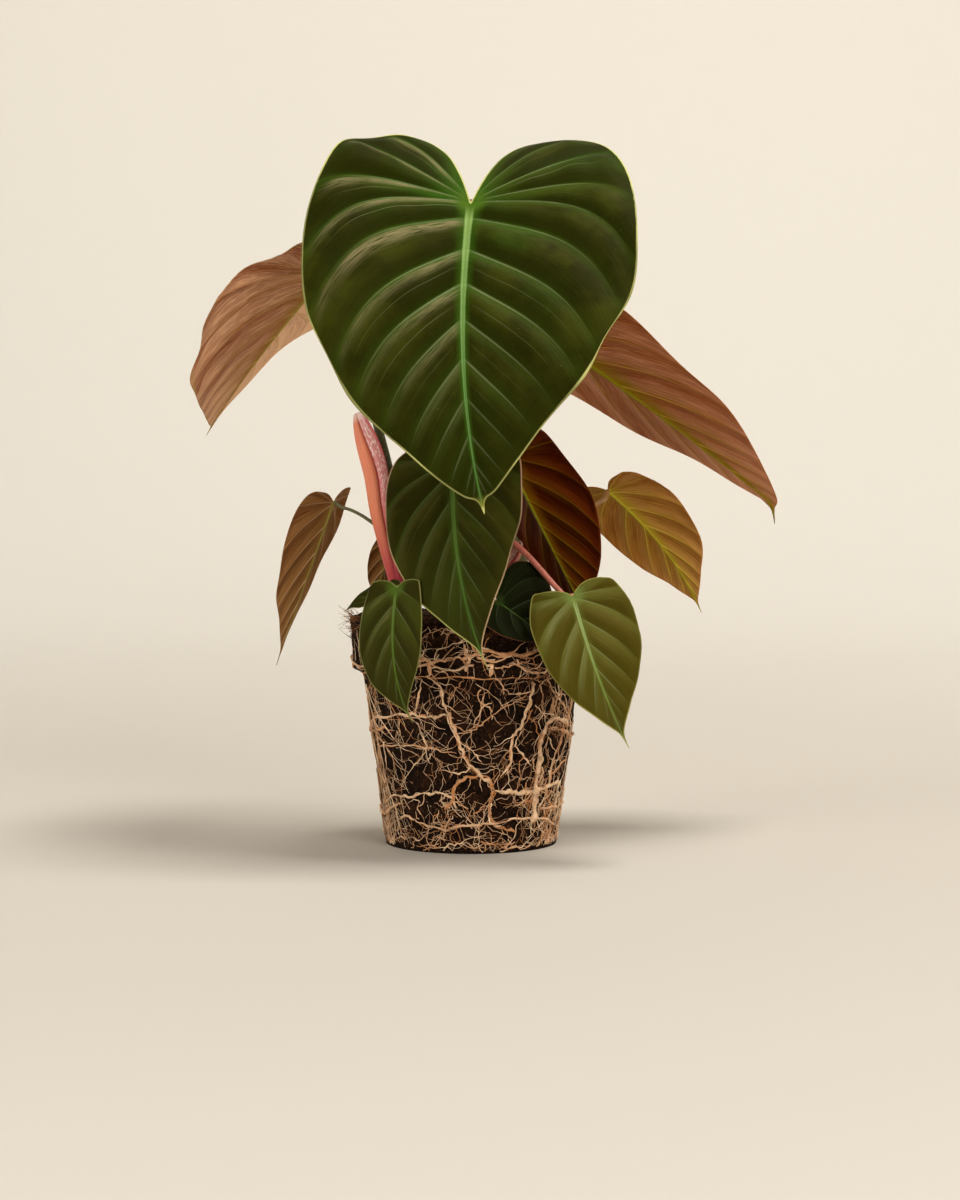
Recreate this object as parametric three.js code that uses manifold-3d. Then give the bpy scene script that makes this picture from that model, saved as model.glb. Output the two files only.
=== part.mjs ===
// Heart-leaved climbing philodendron, lifted whole out of its nursery pot: a pot-shaped plug of
// soil inside a net of roots, three short stems, twelve leaves on long stalks and two leaf sheaths.
// Millimetres, +Z up. The origin is the middle of the plug's flat underside and -Y is the front.

import * as THREE from "three";
import { mergeVertices } from "three/addons/utils/BufferGeometryUtils.js";
import Module from "manifold-3d";

const wasm = await Module();
wasm.setup();

// Soil plug, the cast of a 12 cm nursery pot
const PLUG_BASE_RADIUS = 41;
const PLUG_STEP_HEIGHT = 82.5;
const PLUG_STEP_RADIUS = 51.5;
const RIM_FOOT_RADIUS = 56;
const RIM_TOP_RADIUS = 57.2;
const RIM_RISE = 2;
const PLUG_HEIGHT = 110;
const PLUG_EDGE_ROUND = 1;
const SOIL_LUMP = 0.45;
const PLUG_SIDES = 36;
const PLUG_RINGS = [0, 14, 30, 46, 62, 76];
// The uneven top: each ring's share of the plug's radius and its rise over the rounded edge
const SOIL_TOP = [[0.93, 1.2], [0.62, 0.4], [0.3, 1.1]];
const SOIL_TOP_WOBBLE = 0.5;
const SOIL_TOP_MIDDLE = 0.4;

// Clear space between touching pieces
const GAP = 0.3;

// Root net
const ROOT_LIFT = 0.65;
const ROOT_HEIGHT = 1.5;
const ROOT_WIDTH = 2.2;
const ROOT_STEP = 11;
const ROOT_SEED = 11;
const BACK_ROOTS = 24;
// Roots that ring the plug, by height, and the arc round the sides and back that they cover
const RING_HEIGHTS = [20, 54, 86];
const RING_STEPS = 26;
const BACK_ARC = { from: -42, to: 222 };
const WANDER_ARC = { from: -30, to: 210 };

// Stems: foot in a socket in the soil, top leaning a little
const SOCKET_HEIGHT = 98;
const STEM_RADIUS = 4.4;
const STEM_SIDES = 8;
const STEM_UPRIGHT = 4;
const STEM_LEAN = [0.35, 0.7, 1];
const STEM_TAPER = [1, 1, 0.97, 0.92, 0.8];
const STEMS = {
  left: { foot: [-30, -4], top: [-34, 1, 152] },
  middle: { foot: [-3, -11], top: [-6, -13, 166] },
  back: { foot: [23, 38], top: [25, 36, 158] },
};

// Leaf blades
const BLADE_THICKNESS = 0.8;
const MIDRIB_THICKNESS = 1.4;
const LATERAL_ARCH = 0.5;
// Side veins bow in full once they end this share of the length past the back of the lobe
const FULL_BOW = 0.5;
// Side veins leave the base of the midrib until the outline passes this share of the length
const LATERAL_START = 0.15;
// Share of the half outline that is the edge of the sinus, and of the rows that it bends
const SINUS_EDGE = 0.25;
const SINUS_REACH = 0.3;
const MARGIN_WAVE = 0.02;
const MARGIN_WAVES = 4.5;
const MIDRIB_STEPS = 24;
// Share of the length that a lobe reaches back where it has bent by its whole angle
const LOBE_BEND_REACH = 0.2;
const CROSS_STEPS = 16;
// The faces turn square to the midrib within this many lengths of the drip tip
const TIP_SQUARE = 1.4;
const LARGE_BLADE = 95;
const LARGE_GRID = { rows: 18, columns: 4 };
const SMALL_GRID = { rows: 12, columns: 3 };

// Stalks, each set into a blade by a short knee
const KNEE_LENGTH = 4;
const STALK_STEPS = 9;
const STALK_SIDES = 6;
const STALK_TAPER = 0.7;

// Each leaf: base of the blade, its length and two half widths, compass heading and downward
// pitch of the midrib, roll about it, then how far it droops, sways and twists to the tip, the
// upward fold of the halves at the midrib and their curl towards the margin, all in degrees.
// lobe, belly and tip are shares of the length: depth of the basal lobes, place of the widest
// part and length of the drip tip. back is how far the lobes bend down.
// The stalk runs from a stem at a height, first along lift, and ends along hang under the blade.
const LEAVES = [
  {
    name: "crown", base: [0, -32, 305], length: 158, width: [76, 80],
    heading: -99, pitch: 54, roll: -7, droop: 35, sway: 17, twist: 6, fold: 11, curl: -10,
    lobe: [0.26, 0.32], belly: 0.14, tip: 0.07, back: 25, shoulder: 0.13,
    stem: "middle", height: 156, lift: [3, 2, 60], hang: [2, 22, -42], radius: [2.8, 2.1],
  },
  {
    name: "high_left", base: [-69.5, 14, 274], length: 124, width: [75, 75],
    heading: 132, pitch: 35, roll: -11, droop: 10, sway: 6, twist: -25, fold: 3, curl: -7,
    lobe: [0.2, 0.24], belly: 0.03, tip: 0.07, back: 1, shoulder: -0.5,
    stem: "left", height: 143, lift: [-5, 3, 40], hang: [10, -8, -30], radius: [2.6, 1.8],
  },
  {
    name: "high_right", base: [36, 12, 244.5], length: 153, width: [51, 51],
    heading: 15, pitch: 33, roll: -19, droop: -2, sway: 18, twist: 8, fold: 9, curl: -6,
    lobe: [0.19, 0.19], belly: 0.06, tip: 0.04, back: 15, shoulder: 0,
    stem: "back", height: 150, lift: [4, -4, 34], hang: [2, 4, -26], radius: [2.6, 1.9],
  },
  {
    name: "front", base: [-8.5, -40, 184.5], length: 105, width: [35, 35],
    heading: -91, pitch: 56, roll: 22, droop: 22, sway: 16, twist: 2, fold: 5, curl: -12,
    lobe: [0.12, 0.12], belly: 0.12, tip: 0.12, back: 13, shoulder: -0.4,
    stem: "middle", height: 146, lift: [-3, -6, 26], hang: [2, 12, -8], radius: [2.3, 1.6],
  },
  {
    name: "inner_right", base: [17, -14, 186], length: 99, width: [35, 35],
    heading: 48, pitch: 53, roll: 4, droop: 9, sway: -11, twist: -5, fold: 16, curl: -7,
    lobe: [0.16, 0.14], belly: 0.19, tip: 0.1, back: 7, shoulder: -0.5,
    stem: "middle", height: 126, lift: [4, 7, 20], hang: [-4, -1, -18], radius: [2.2, 1.6],
  },
  {
    name: "outer_right", base: [67.5, 42, 168.5], length: 82, width: [29, 29],
    heading: 31, pitch: 36, roll: -20, droop: 40, sway: -1, twist: -6, fold: 5, curl: -7,
    lobe: [0.08, 0.08], belly: 0.18, tip: 0.12, back: 12, shoulder: -0.4,
    stem: "back", height: 130, lift: [10, 3, 16], hang: [-12, -4, -6], radius: [1.7, 1.2],
  },
  {
    name: "outer_left", base: [-66.5, 6, 164], length: 89, width: [23, 22],
    heading: 132, pitch: 61, roll: -14, droop: 9, sway: 16, twist: -11, fold: 17, curl: -5,
    lobe: [0.04, 0.06], belly: 0.16, tip: 0.14, back: 14, shoulder: -0.1,
    stem: "left", height: 136, lift: [-6, 3, 12], hang: [9, -2, -1], radius: [1.6, 1.1],
  },
  {
    name: "low_right", base: [47, -58, 123], length: 78, width: [24, 26],
    heading: -65, pitch: 57, roll: 15, droop: 23, sway: 17, twist: 4, fold: 9, curl: -10,
    lobe: [0.04, 0.08], belly: 0.17, tip: 0.14, back: 14, shoulder: -0.6,
    stem: "middle", height: 144, lift: [18, -14, 22], hang: [-12, 2, 8], radius: [2, 1.2],
  },
  {
    name: "low_left", base: [-34, -60.8, 127], length: 66, width: [18, 16],
    heading: -112, pitch: 68, roll: 11, droop: 24, sway: 29, twist: -4, fold: 6, curl: -10,
    lobe: [0.05, 0.05], belly: 0.31, tip: 0.13, back: 15, shoulder: -0.3,
    stem: "left", height: 118, lift: [5, -14, 10], hang: [3, 14, 2], radius: [1.6, 1.1],
  },
  {
    name: "back_left", base: [-38.5, 18, 144.5], length: 36, width: [9, 9],
    heading: 118, pitch: 54, roll: 2, droop: 19, sway: 5, twist: -1, fold: 13, curl: -10,
    lobe: [0.09, 0.09], belly: 0.22, tip: 0.1, back: 15, shoulder: 0.1,
    stem: "left", height: 124, lift: [0, 5, 9], hang: [1, -5, -6], radius: [1.4, 1],
  },
  {
    name: "rim_left", base: [-35, -30, 122.5], length: 27, width: [14, 14],
    heading: 179, pitch: 11, roll: -19, droop: 25, sway: -4, twist: 2, fold: 13, curl: -16,
    lobe: [0.08, 0.08], belly: 0.21, tip: 0.12, back: 15, shoulder: 0,
    stem: "left", height: 112.5, lift: [9, -6, 3], hang: [7, 4, 0], radius: [1.3, 0.9],
  },
  {
    name: "shade", base: [12, -53, 120], length: 36, width: [23, 27],
    heading: -5, pitch: 34, roll: 43, droop: 10, sway: -4, twist: -4, fold: 14, curl: 4,
    lobe: [0.1, 0.12], belly: 0.11, tip: 0.15, back: 18, shoulder: 0,
    stem: "middle", height: 116, lift: [4, -12, 9], hang: [-1, 12, 2], radius: [1.5, 1.1],
  },
];

// Leaf sheaths: gutters that wrap a stem at the foot and stand away from it above
const SHEATH_THICKNESS = 0.9;
const SHEATH_ROWS = 10;
const SHEATH_COLUMNS = 6;
const SHEATH_FOOT_SCALE = 1.28;
const SHEATH_NARROWING = 0.4;
const SHEATH_OPENING = 0.25;
const SHEATH_BLUNTNESS = 6;
const SHEATH_TIP = 0.93;
const SHEATHS = {
  sheath_tall: {
    spine: [[-32.5, -5, 112.5], [-37.5, -7, 131], [-43.5, -8, 158], [-48.5, -7, 182], [-54, -6, 207]],
    facing: -118, width: 4.6, wrap: 78,
  },
  sheath_short: {
    spine: [[3, -8, 113], [8, -8, 124], [15, -9, 135], [23, -11, 146]],
    facing: 20, width: 4.4, wrap: 75,
  },
};

const degrees = THREE.MathUtils.degToRad;
const vector = ([x, y, z]) => new THREE.Vector3(x, y, z);

// Random numbers from a fixed seed, so every build grows the same roots
function randomFrom(seed) {
  let state = seed;
  return () => {
    state = (state * 1664525 + 1013904223) % 4294967296;
    return state / 4294967296;
  };
}

// A closed surface gathered from triangles; corners at the same place become one vertex
class Skin {
  constructor() {
    this.points = [];
    this.triangles = [];
    this.places = new Map();
  }

  vertex(point) {
    const key = point.toArray().map((value) => Math.round(value * 500)).join(" ");
    if (!this.places.has(key)) {
      this.places.set(key, this.points.length);
      this.points.push(point.clone());
    }
    return this.places.get(key);
  }

  triangle(a, b, c) {
    if (a !== b && b !== c && c !== a) this.triangles.push([a, b, c]);
  }

  quad(a, b, c, d) {
    this.triangle(a, b, c);
    this.triangle(a, c, d);
  }

  // A fan over a closed ring of vertices, seen counterclockwise from outside
  cap(ring) {
    for (let i = 1; i < ring.length - 1; i++) {
      this.triangle(ring[0], ring[i], ring[i + 1]);
    }
  }

  // Stacked rings, lowest first, each counterclockwise seen from the last ring's side
  tube(rings) {
    const sides = rings[0].length;
    for (let i = 0; i < rings.length - 1; i++) {
      for (let j = 0; j < sides; j++) {
        const next = (j + 1) % sides;
        this.quad(rings[i][j], rings[i][next], rings[i + 1][next], rings[i + 1][j]);
      }
    }
  }
}

function toManifold(skin) {
  return new wasm.Manifold(new wasm.Mesh({
    numProp: 3,
    vertProperties: Float32Array.from(skin.points.flatMap((point) => point.toArray())),
    triVerts: Uint32Array.from(skin.triangles.flat()),
  }));
}

function geometryOf(skin) {
  const geometry = new THREE.BufferGeometry();
  const positions = skin.points.flatMap((point) => point.toArray());
  geometry.setAttribute("position", new THREE.Float32BufferAttribute(positions, 3));
  geometry.setIndex(skin.triangles.flat());
  return geometry;
}

// The largest body of a manifold, as geometry; loose scraps are dropped, and also what hangs on
// by a neck so thin that it parts when near vertices are merged
function largestBody(manifold, passes = 2) {
  const bodies = manifold.decompose().sort((a, b) => b.volume() - a.volume());
  const mesh = bodies[0].getMesh();
  let geometry = new THREE.BufferGeometry();
  geometry.setAttribute("position", new THREE.BufferAttribute(mesh.vertProperties, 3));
  geometry.setIndex(new THREE.BufferAttribute(mesh.triVerts, 1));
  if (passes === 1) return geometry;
  geometry = mergeVertices(geometry, 1e-3);
  return largestBody(new wasm.Manifold(new wasm.Mesh({
    numProp: 3,
    vertProperties: geometry.attributes.position.array,
    triVerts: Uint32Array.from(geometry.index.array),
  })), passes - 1);
}

// Directions across a path, carried along it without spin
function carriedFrames(path, firstAcross) {
  const frames = [];
  let across = firstAcross.clone();
  for (let i = 0; i < path.length; i++) {
    const before = path[Math.max(i - 1, 0)];
    const after = path[Math.min(i + 1, path.length - 1)];
    const along = after.clone().sub(before).normalize();
    across = across.clone().addScaledVector(along, -across.dot(along)).normalize();
    frames.push({ along, across, up: along.clone().cross(across) });
  }
  return frames;
}

// A round tube along a path with a radius at each point
function roundTube(path, radii, sides) {
  const skin = new Skin();
  const start = path[1].clone().sub(path[0]).normalize();
  const helper = Math.abs(start.z) > 0.8 ? new THREE.Vector3(1, 0, 0) : new THREE.Vector3(0, 0, 1);
  const frames = carriedFrames(path, helper.cross(start));
  const rings = path.map((centre, i) => {
    const ring = [];
    for (let j = 0; j < sides; j++) {
      const angle = (j / sides) * Math.PI * 2;
      ring.push(skin.vertex(centre.clone()
        .addScaledVector(frames[i].across, Math.cos(angle) * radii[i])
        .addScaledVector(frames[i].up, Math.sin(angle) * radii[i])));
    }
    return ring;
  });
  skin.tube(rings);
  skin.cap(rings[0].slice().reverse());
  skin.cap(rings[rings.length - 1]);
  return skin;
}

// An open sheet made solid: both faces follow it with the same triangles, at a distance above
// and below each of its points, square to the sheet or along a direction given for that point
function thicken(sheet, offsetsAt) {
  const normals = sheet.points.map(() => new THREE.Vector3());
  const edges = new Map();
  for (const corners of sheet.triangles) {
    const [a, b, c] = corners.map((index) => sheet.points[index]);
    const normal = b.clone().sub(a).cross(c.clone().sub(a));
    for (let i = 0; i < 3; i++) {
      normals[corners[i]].add(normal);
      edges.set(`${corners[i]} ${corners[(i + 1) % 3]}`, [corners[i], corners[(i + 1) % 3]]);
    }
  }
  const solid = new Skin();
  const offset = (direction) => sheet.points.map((point, i) => {
    const { above, below, along } = offsetsAt(i);
    const distance = direction > 0 ? above : -below;
    const square = (along ?? normals[i]).clone().normalize();
    solid.points.push(point.clone().addScaledVector(square, distance));
    return solid.points.length - 1;
  });
  const top = offset(1);
  const under = offset(-1);
  for (const [a, b, c] of sheet.triangles) {
    solid.triangle(top[a], top[b], top[c]);
    solid.triangle(under[c], under[b], under[a]);
  }
  for (const [a, b] of edges.values()) {
    if (!edges.has(`${b} ${a}`)) solid.quad(top[b], top[a], under[a], under[b]);
  }
  return solid;
}

// Height and radius of the plug's side, with the soft lumps of moulded soil
function plugRadius(angle, height) {
  const lumps = Math.sin(3 * angle + 0.05 * height) + 0.7 * Math.sin(5 * angle - 0.07 * height);
  const lump = height > 0 ? SOIL_LUMP * lumps : 0;
  if (height <= PLUG_STEP_HEIGHT) {
    const share = height / PLUG_STEP_HEIGHT;
    return THREE.MathUtils.lerp(PLUG_BASE_RADIUS, PLUG_STEP_RADIUS, share) + lump;
  }
  const rise = Math.min((height - PLUG_STEP_HEIGHT) / RIM_RISE, 1);
  const rim = THREE.MathUtils.mapLinear(
    height, PLUG_STEP_HEIGHT, PLUG_HEIGHT, RIM_FOOT_RADIUS, RIM_TOP_RADIUS);
  return THREE.MathUtils.lerp(PLUG_STEP_RADIUS, rim, rise) + lump;
}

function plugPoint(angle, height, outward = 0) {
  const radius = plugRadius(angle, height) + outward;
  return new THREE.Vector3(Math.cos(angle) * radius, Math.sin(angle) * radius, height);
}

// Stem centre line: upright inside its socket, then leaning to the top
function stemPath(stem) {
  const [x, y] = stem.foot;
  const [topX, topY, topZ] = stem.top;
  const bend = PLUG_HEIGHT + STEM_UPRIGHT;
  const straight = [SOCKET_HEIGHT + GAP, bend].map((z) => new THREE.Vector3(x, y, z));
  const lean = STEM_LEAN.map((share) => new THREE.Vector3(
    THREE.MathUtils.lerp(x, topX, share * share),
    THREE.MathUtils.lerp(y, topY, share * share),
    THREE.MathUtils.lerp(bend, topZ, share)));
  return [...straight, ...lean];
}

function stemPointAt(stem, height) {
  const path = stemPath(stem);
  const upper = Math.max(path.findIndex((point) => point.z >= height), 1);
  const share = (height - path[upper - 1].z) / (path[upper].z - path[upper - 1].z);
  return path[upper - 1].clone().lerp(path[upper], share);
}

function makeStem(stem, grow = 0) {
  const path = stemPath(stem);
  path[path.length - 1].z += grow;
  return roundTube(path, STEM_TAPER.map((share) => STEM_RADIUS * share + grow), STEM_SIDES);
}

// The plug's outside, grown by a clear space where the roots are fitted to it
function plugSkin(grow = 0) {
  const skin = new Skin();
  const rimFoot = PLUG_STEP_HEIGHT + RIM_RISE;
  const edge = PLUG_HEIGHT - PLUG_EDGE_ROUND;
  const heights = [...PLUG_RINGS, PLUG_STEP_HEIGHT, rimFoot, (rimFoot + edge) / 2, edge];
  const ringAt = (place) => {
    const ring = [];
    for (let j = 0; j < PLUG_SIDES; j++) {
      ring.push(skin.vertex(place((j / PLUG_SIDES) * Math.PI * 2)));
    }
    return ring;
  };
  const rings = heights.map((height) => ringAt((angle) => plugPoint(angle, height, grow)));
  for (const [share, rise] of SOIL_TOP) {
    rings.push(ringAt((angle) => {
      const top = plugPoint(angle, edge);
      const wobble = SOIL_TOP_WOBBLE * Math.sin(4 * angle + 9 * share);
      return new THREE.Vector3(top.x * share, top.y * share, edge + rise + wobble);
    }));
  }
  skin.tube(rings);
  const foot = skin.vertex(new THREE.Vector3(0, 0, 0));
  const crown = skin.vertex(new THREE.Vector3(0, 0, PLUG_HEIGHT + SOIL_TOP_MIDDLE));
  const last = rings[rings.length - 1];
  for (let j = 0; j < PLUG_SIDES; j++) {
    const next = (j + 1) % PLUG_SIDES;
    skin.triangle(foot, rings[0][next], rings[0][j]);
    skin.triangle(crown, last[j], last[next]);
  }
  return skin;
}

// The plug with a plain socket for each stem
function makePlug() {
  let plug = toManifold(plugSkin());
  const bore = STEM_RADIUS / Math.cos(Math.PI / STEM_SIDES) + GAP;
  for (const stem of Object.values(STEMS)) {
    const [x, y] = stem.foot;
    const drill = [SOCKET_HEIGHT, 2 * PLUG_HEIGHT].map((z) => new THREE.Vector3(x, y, z));
    plug = plug.subtract(toManifold(roundTube(drill, [bore, bore], STEM_SIDES)));
  }
  return largestBody(plug);
}

// A route with points added just past the two corners of the step, where it crosses them
function bendAtStep(route) {
  const past = 0.5;
  const nearEnd = 0.02;
  const bent = [route[0]];
  for (let i = 1; i < route.length; i++) {
    const [from, to] = [route[i - 1], route[i]];
    const shares = [PLUG_STEP_HEIGHT - past, PLUG_STEP_HEIGHT + RIM_RISE + past]
      .map((height) => (height - from[1]) / (to[1] - from[1]))
      .filter((share) => share > nearEnd && share < 1 - nearEnd)
      .sort((a, b) => a - b);
    for (const share of shares) {
      bent.push([from[0] + (to[0] - from[0]) * share, from[1] + (to[1] - from[1]) * share]);
    }
    bent.push(to);
  }
  return bent;
}

// One root: a three-sided ridge on the plug along [angle, height] points
function makeRoot(points, width) {
  const route = bendAtStep(points);
  const skin = new Skin();
  const rings = route.map(([angle, height], i) => {
    const [nextAngle, nextHeight] = route[Math.min(i + 1, route.length - 1)];
    const [lastAngle, lastHeight] = route[Math.max(i - 1, 0)];
    const radius = plugRadius(angle, height);
    const heading = new THREE.Vector2((nextAngle - lastAngle) * radius, nextHeight - lastHeight);
    heading.normalize();
    const side = (share, outward) => {
      const shift = share * width * 0.5;
      return skin.vertex(plugPoint(
        angle - (heading.y * shift) / radius, height + heading.x * shift, outward));
    };
    return [side(1, ROOT_LIFT), side(0, ROOT_LIFT + ROOT_HEIGHT), side(-1, ROOT_LIFT)];
  });
  skin.tube(rings);
  skin.cap(rings[0].slice().reverse());
  skin.cap(rings[rings.length - 1]);
  return toManifold(skin);
}

// The main roots on the front, as [across, up] points seen from the front
const FRONT_ROOTS = [
  [[-50, 86], [-38, 85.5], [-25, 86], [-5, 85.5], [9, 86], [27, 85.5], [42, 86], [52, 88]],
  [[-21, 98], [-18, 86], [-14, 76], [-10, 65], [-5, 55], [0, 44], [6, 38], [13, 30], [24, 29], [31, 32]],
  [[-46, 62], [-33, 66], [-19, 66], [-9, 67], [3, 59], [11, 66], [18, 72], [25, 80]],
  [[-34, 101], [-20, 97], [-3, 98], [16, 97], [30, 96], [44, 99]],
  [[25, 88], [24, 71], [22, 61], [18, 53], [17, 42], [13, 30], [9, 19], [8, 10]],
  [[38, 88], [37, 72], [34, 58], [33, 48], [32, 39], [31, 24], [31, 12]],
  [[-44, 88], [-42, 70], [-40, 52], [-37, 36], [-34, 20], [-31, 8]],
  [[-30, 86], [-29, 72], [-24, 58], [-22, 44], [-24, 30], [-20, 14], [-19, 6]],
  [[10, 37], [0, 40], [-10, 34], [-22, 36], [-36, 34]],
  [[-36, 14], [-24, 19], [-10, 13], [2, 18], [16, 12], [30, 17], [38, 14]],
  [[45, 70], [40, 62], [33, 50], [26, 44], [17, 42]],
  [[-2, 62], [-14, 50], [-23, 50], [-38, 46]],
];

// Seeded roots wander down and round the sides and back
function wanderingRoot(random) {
  const edge = 4.5;
  const start = degrees(THREE.MathUtils.lerp(WANDER_ARC.from, WANDER_ARC.to, random()));
  const steps = 5 + Math.floor(random() * 5);
  const route = [[start, THREE.MathUtils.lerp(2 * edge, PLUG_HEIGHT - edge, random())]];
  let turn = random() * Math.PI * 2;
  for (let i = 0; i < steps; i++) {
    const [angle, height] = route[route.length - 1];
    turn += (random() - 0.5) * 1.1;
    const nextHeight = height + Math.sin(turn) * ROOT_STEP;
    if (nextHeight < edge || nextHeight > PLUG_HEIGHT - edge) turn = -turn;
    const aside = (Math.cos(turn) * ROOT_STEP) / plugRadius(angle, height);
    route.push([angle + aside, height + Math.sin(turn) * ROOT_STEP]);
  }
  return route;
}

function makeRootNet() {
  const random = randomFrom(ROOT_SEED);
  const front = -Math.PI / 2;
  const roots = [];
  for (const route of FRONT_ROOTS) {
    roots.push(makeRoot(route.map(([across, up]) => {
      const share = THREE.MathUtils.clamp(across / plugRadius(front, up), -1, 1);
      return [front + Math.asin(share), up];
    }), ROOT_WIDTH));
  }
  for (const height of RING_HEIGHTS) {
    const round = [];
    for (let i = 0; i <= RING_STEPS; i++) {
      const angle = degrees(THREE.MathUtils.lerp(BACK_ARC.from, BACK_ARC.to, i / RING_STEPS));
      round.push([angle, height + 3 * Math.sin(3 * angle + height) + 2 * Math.sin(7 * angle)]);
    }
    roots.push(makeRoot(round, ROOT_WIDTH));
  }
  for (let i = 0; i < BACK_ROOTS; i++) {
    roots.push(makeRoot(wanderingRoot(random), ROOT_WIDTH * (0.75 + 0.4 * random())));
  }
  return largestBody(wasm.Manifold.union(roots).subtract(toManifold(plugSkin(GAP))));
}

// Half outline of a blade in half widths across and lengths along: sinus, lobe, belly, drip tip
function outlinePoint(leaf, lobe, t) {
  const { belly, tip, shoulder } = leaf;
  const rest = 1 - belly - tip;
  const points = [
    [0, 0], [0.09, -0.42 * lobe], [0.21, -0.8 * lobe], [0.38, -lobe], [0.62, -0.97 * lobe],
    [0.86 + 0.06 * shoulder, -0.6 * lobe + 0.1 * belly], [1, belly], [0.93, belly + 0.33 * rest],
    [0.7, belly + 0.62 * rest], [0.36, belly + 0.85 * rest], [0.085, 1 - tip],
    [0.03, 1 - 0.45 * tip], [0, 1],
  ];
  const spans = points.length - 1;
  const at = (i, axis) => {
    if (i < 0) return 2 * points[0][axis] - points[1][axis];
    if (i > spans) return 2 * points[spans][axis] - points[spans - 1][axis];
    return points[i][axis];
  };
  const index = Math.min(Math.floor(t * spans), spans - 1);
  const u = t * spans - index;
  return [0, 1].map((axis) => {
    const [a, b, c, d] = [-1, 0, 1, 2].map((step) => at(index + step, axis));
    return 0.5 * (2 * b + (c - a) * u + (2 * a - 5 * b + 4 * c - d) * u * u
      + (3 * b - a - 3 * c + d) * u * u * u);
  });
}

// Midrib of a blade in space: places and directions at even steps from base to tip
function growMidrib(leaf) {
  const [heading, pitch, roll] = [leaf.heading, leaf.pitch, leaf.roll].map(degrees);
  const flat = Math.cos(pitch);
  const along = new THREE.Vector3(
    flat * Math.cos(heading), flat * Math.sin(heading), -Math.sin(pitch));
  const face = new THREE.Vector3(
    Math.sin(pitch) * Math.cos(heading), Math.sin(pitch) * Math.sin(heading), flat);
  const side = along.clone().cross(face);
  face.applyAxisAngle(along, roll);
  side.applyAxisAngle(along, roll);
  const place = vector(leaf.base);
  const stations = [];
  const record = () => stations.push({
    place: place.clone(), along: along.clone(), face: face.clone(), side: side.clone(),
  });
  record();
  for (let i = 0; i < MIDRIB_STEPS; i++) {
    // The bend grows from 0.4 of its mean at the base to 1.6 at the tip
    const share = (0.4 + (1.2 * (i + 0.5)) / MIDRIB_STEPS) / MIDRIB_STEPS;
    for (const direction of [along, face]) {
      direction.applyAxisAngle(side, -degrees(leaf.droop) * share);
    }
    for (const direction of [along, side]) {
      direction.applyAxisAngle(face, degrees(leaf.sway) * share);
    }
    for (const direction of [face, side]) {
      direction.applyAxisAngle(along, degrees(leaf.twist) / MIDRIB_STEPS);
    }
    place.addScaledVector(along, leaf.length / MIDRIB_STEPS);
    record();
  }
  return stations;
}

// The station at a share of the length; below 0 the lobes bend on round the base
function stationAt(leaf, stations, share) {
  if (share < 0) {
    const { place, along, face, side } = stations[0];
    const reach = -share * leaf.length;
    const bend = degrees(leaf.back) * (-share / LOBE_BEND_REACH);
    const turned = (angle) => along.clone().multiplyScalar(Math.cos(angle))
      .addScaledVector(face, Math.sin(angle));
    return {
      place: place.clone().addScaledVector(turned(bend / 2), -reach),
      face: face.clone().multiplyScalar(Math.cos(bend)).addScaledVector(along, -Math.sin(bend)),
      side,
    };
  }
  const index = Math.min(Math.floor(share * MIDRIB_STEPS), MIDRIB_STEPS - 1);
  const [from, to] = [stations[index], stations[index + 1]];
  const mix = (key) => from[key].clone().lerp(to[key], share * MIDRIB_STEPS - index);
  return { place: mix("place"), face: mix("face"), side: mix("side") };
}

// A point of the blade: across from the midrib in mm, along it as a share, on side 1 or -1
function bladePoint(leaf, stations, across, share, side, wave) {
  const station = stationAt(leaf, stations, share);
  const halfWidth = side > 0 ? leaf.width[0] : leaf.width[1];
  let outward = 0;
  let upward = 0;
  for (let i = 0; i < CROSS_STEPS; i++) {
    const reached = ((i + 0.5) / CROSS_STEPS) * (across / halfWidth);
    const angle = degrees(leaf.fold + leaf.curl * reached);
    outward += (Math.cos(angle) * across) / CROSS_STEPS;
    upward += (Math.sin(angle) * across) / CROSS_STEPS;
  }
  return station.place.clone()
    .addScaledVector(station.side, side * outward)
    .addScaledVector(station.face, upward + wave);
}

// A line across half a blade that follows a side vein, as [across in mm, share of the length]
// at q from the midrib, 0, to the margin, 1. The first row is the edge of the sinus itself.
function veinLine(leaf, side, row) {
  const [lobe, halfWidth] = side > 0 ? [leaf.lobe[0], leaf.width[0]] : [leaf.lobe[1], leaf.width[1]];
  const t = THREE.MathUtils.lerp(SINUS_EDGE, 1, row);
  const [outX, outY] = outlinePoint(leaf, lobe, t);
  const [, middleY] = outlinePoint(leaf, (leaf.lobe[0] + leaf.lobe[1]) / 2, t);
  const origin = Math.max((middleY - LATERAL_START) / (1 - LATERAL_START), 0) ** 2;
  const nearSinus = Math.max(1 - row / SINUS_REACH, 0) ** 2;
  const bow = THREE.MathUtils.smoothstep(outY + lobe, 0, FULL_BOW);
  const arch = (LATERAL_ARCH * outX * halfWidth * bow) / leaf.length;
  const [lobeX, lobeY] = outlinePoint(leaf, lobe, SINUS_EDGE);
  return (q) => {
    const [edgeX, edgeY] = outlinePoint(leaf, lobe, SINUS_EDGE * q);
    const x = outX * q + nearSinus * (edgeX - lobeX * q);
    const y = origin + (outY - origin) * q + arch * (q * q - q) + nearSinus * (edgeY - lobeY * q);
    return [x * halfWidth, y];
  };
}

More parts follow.
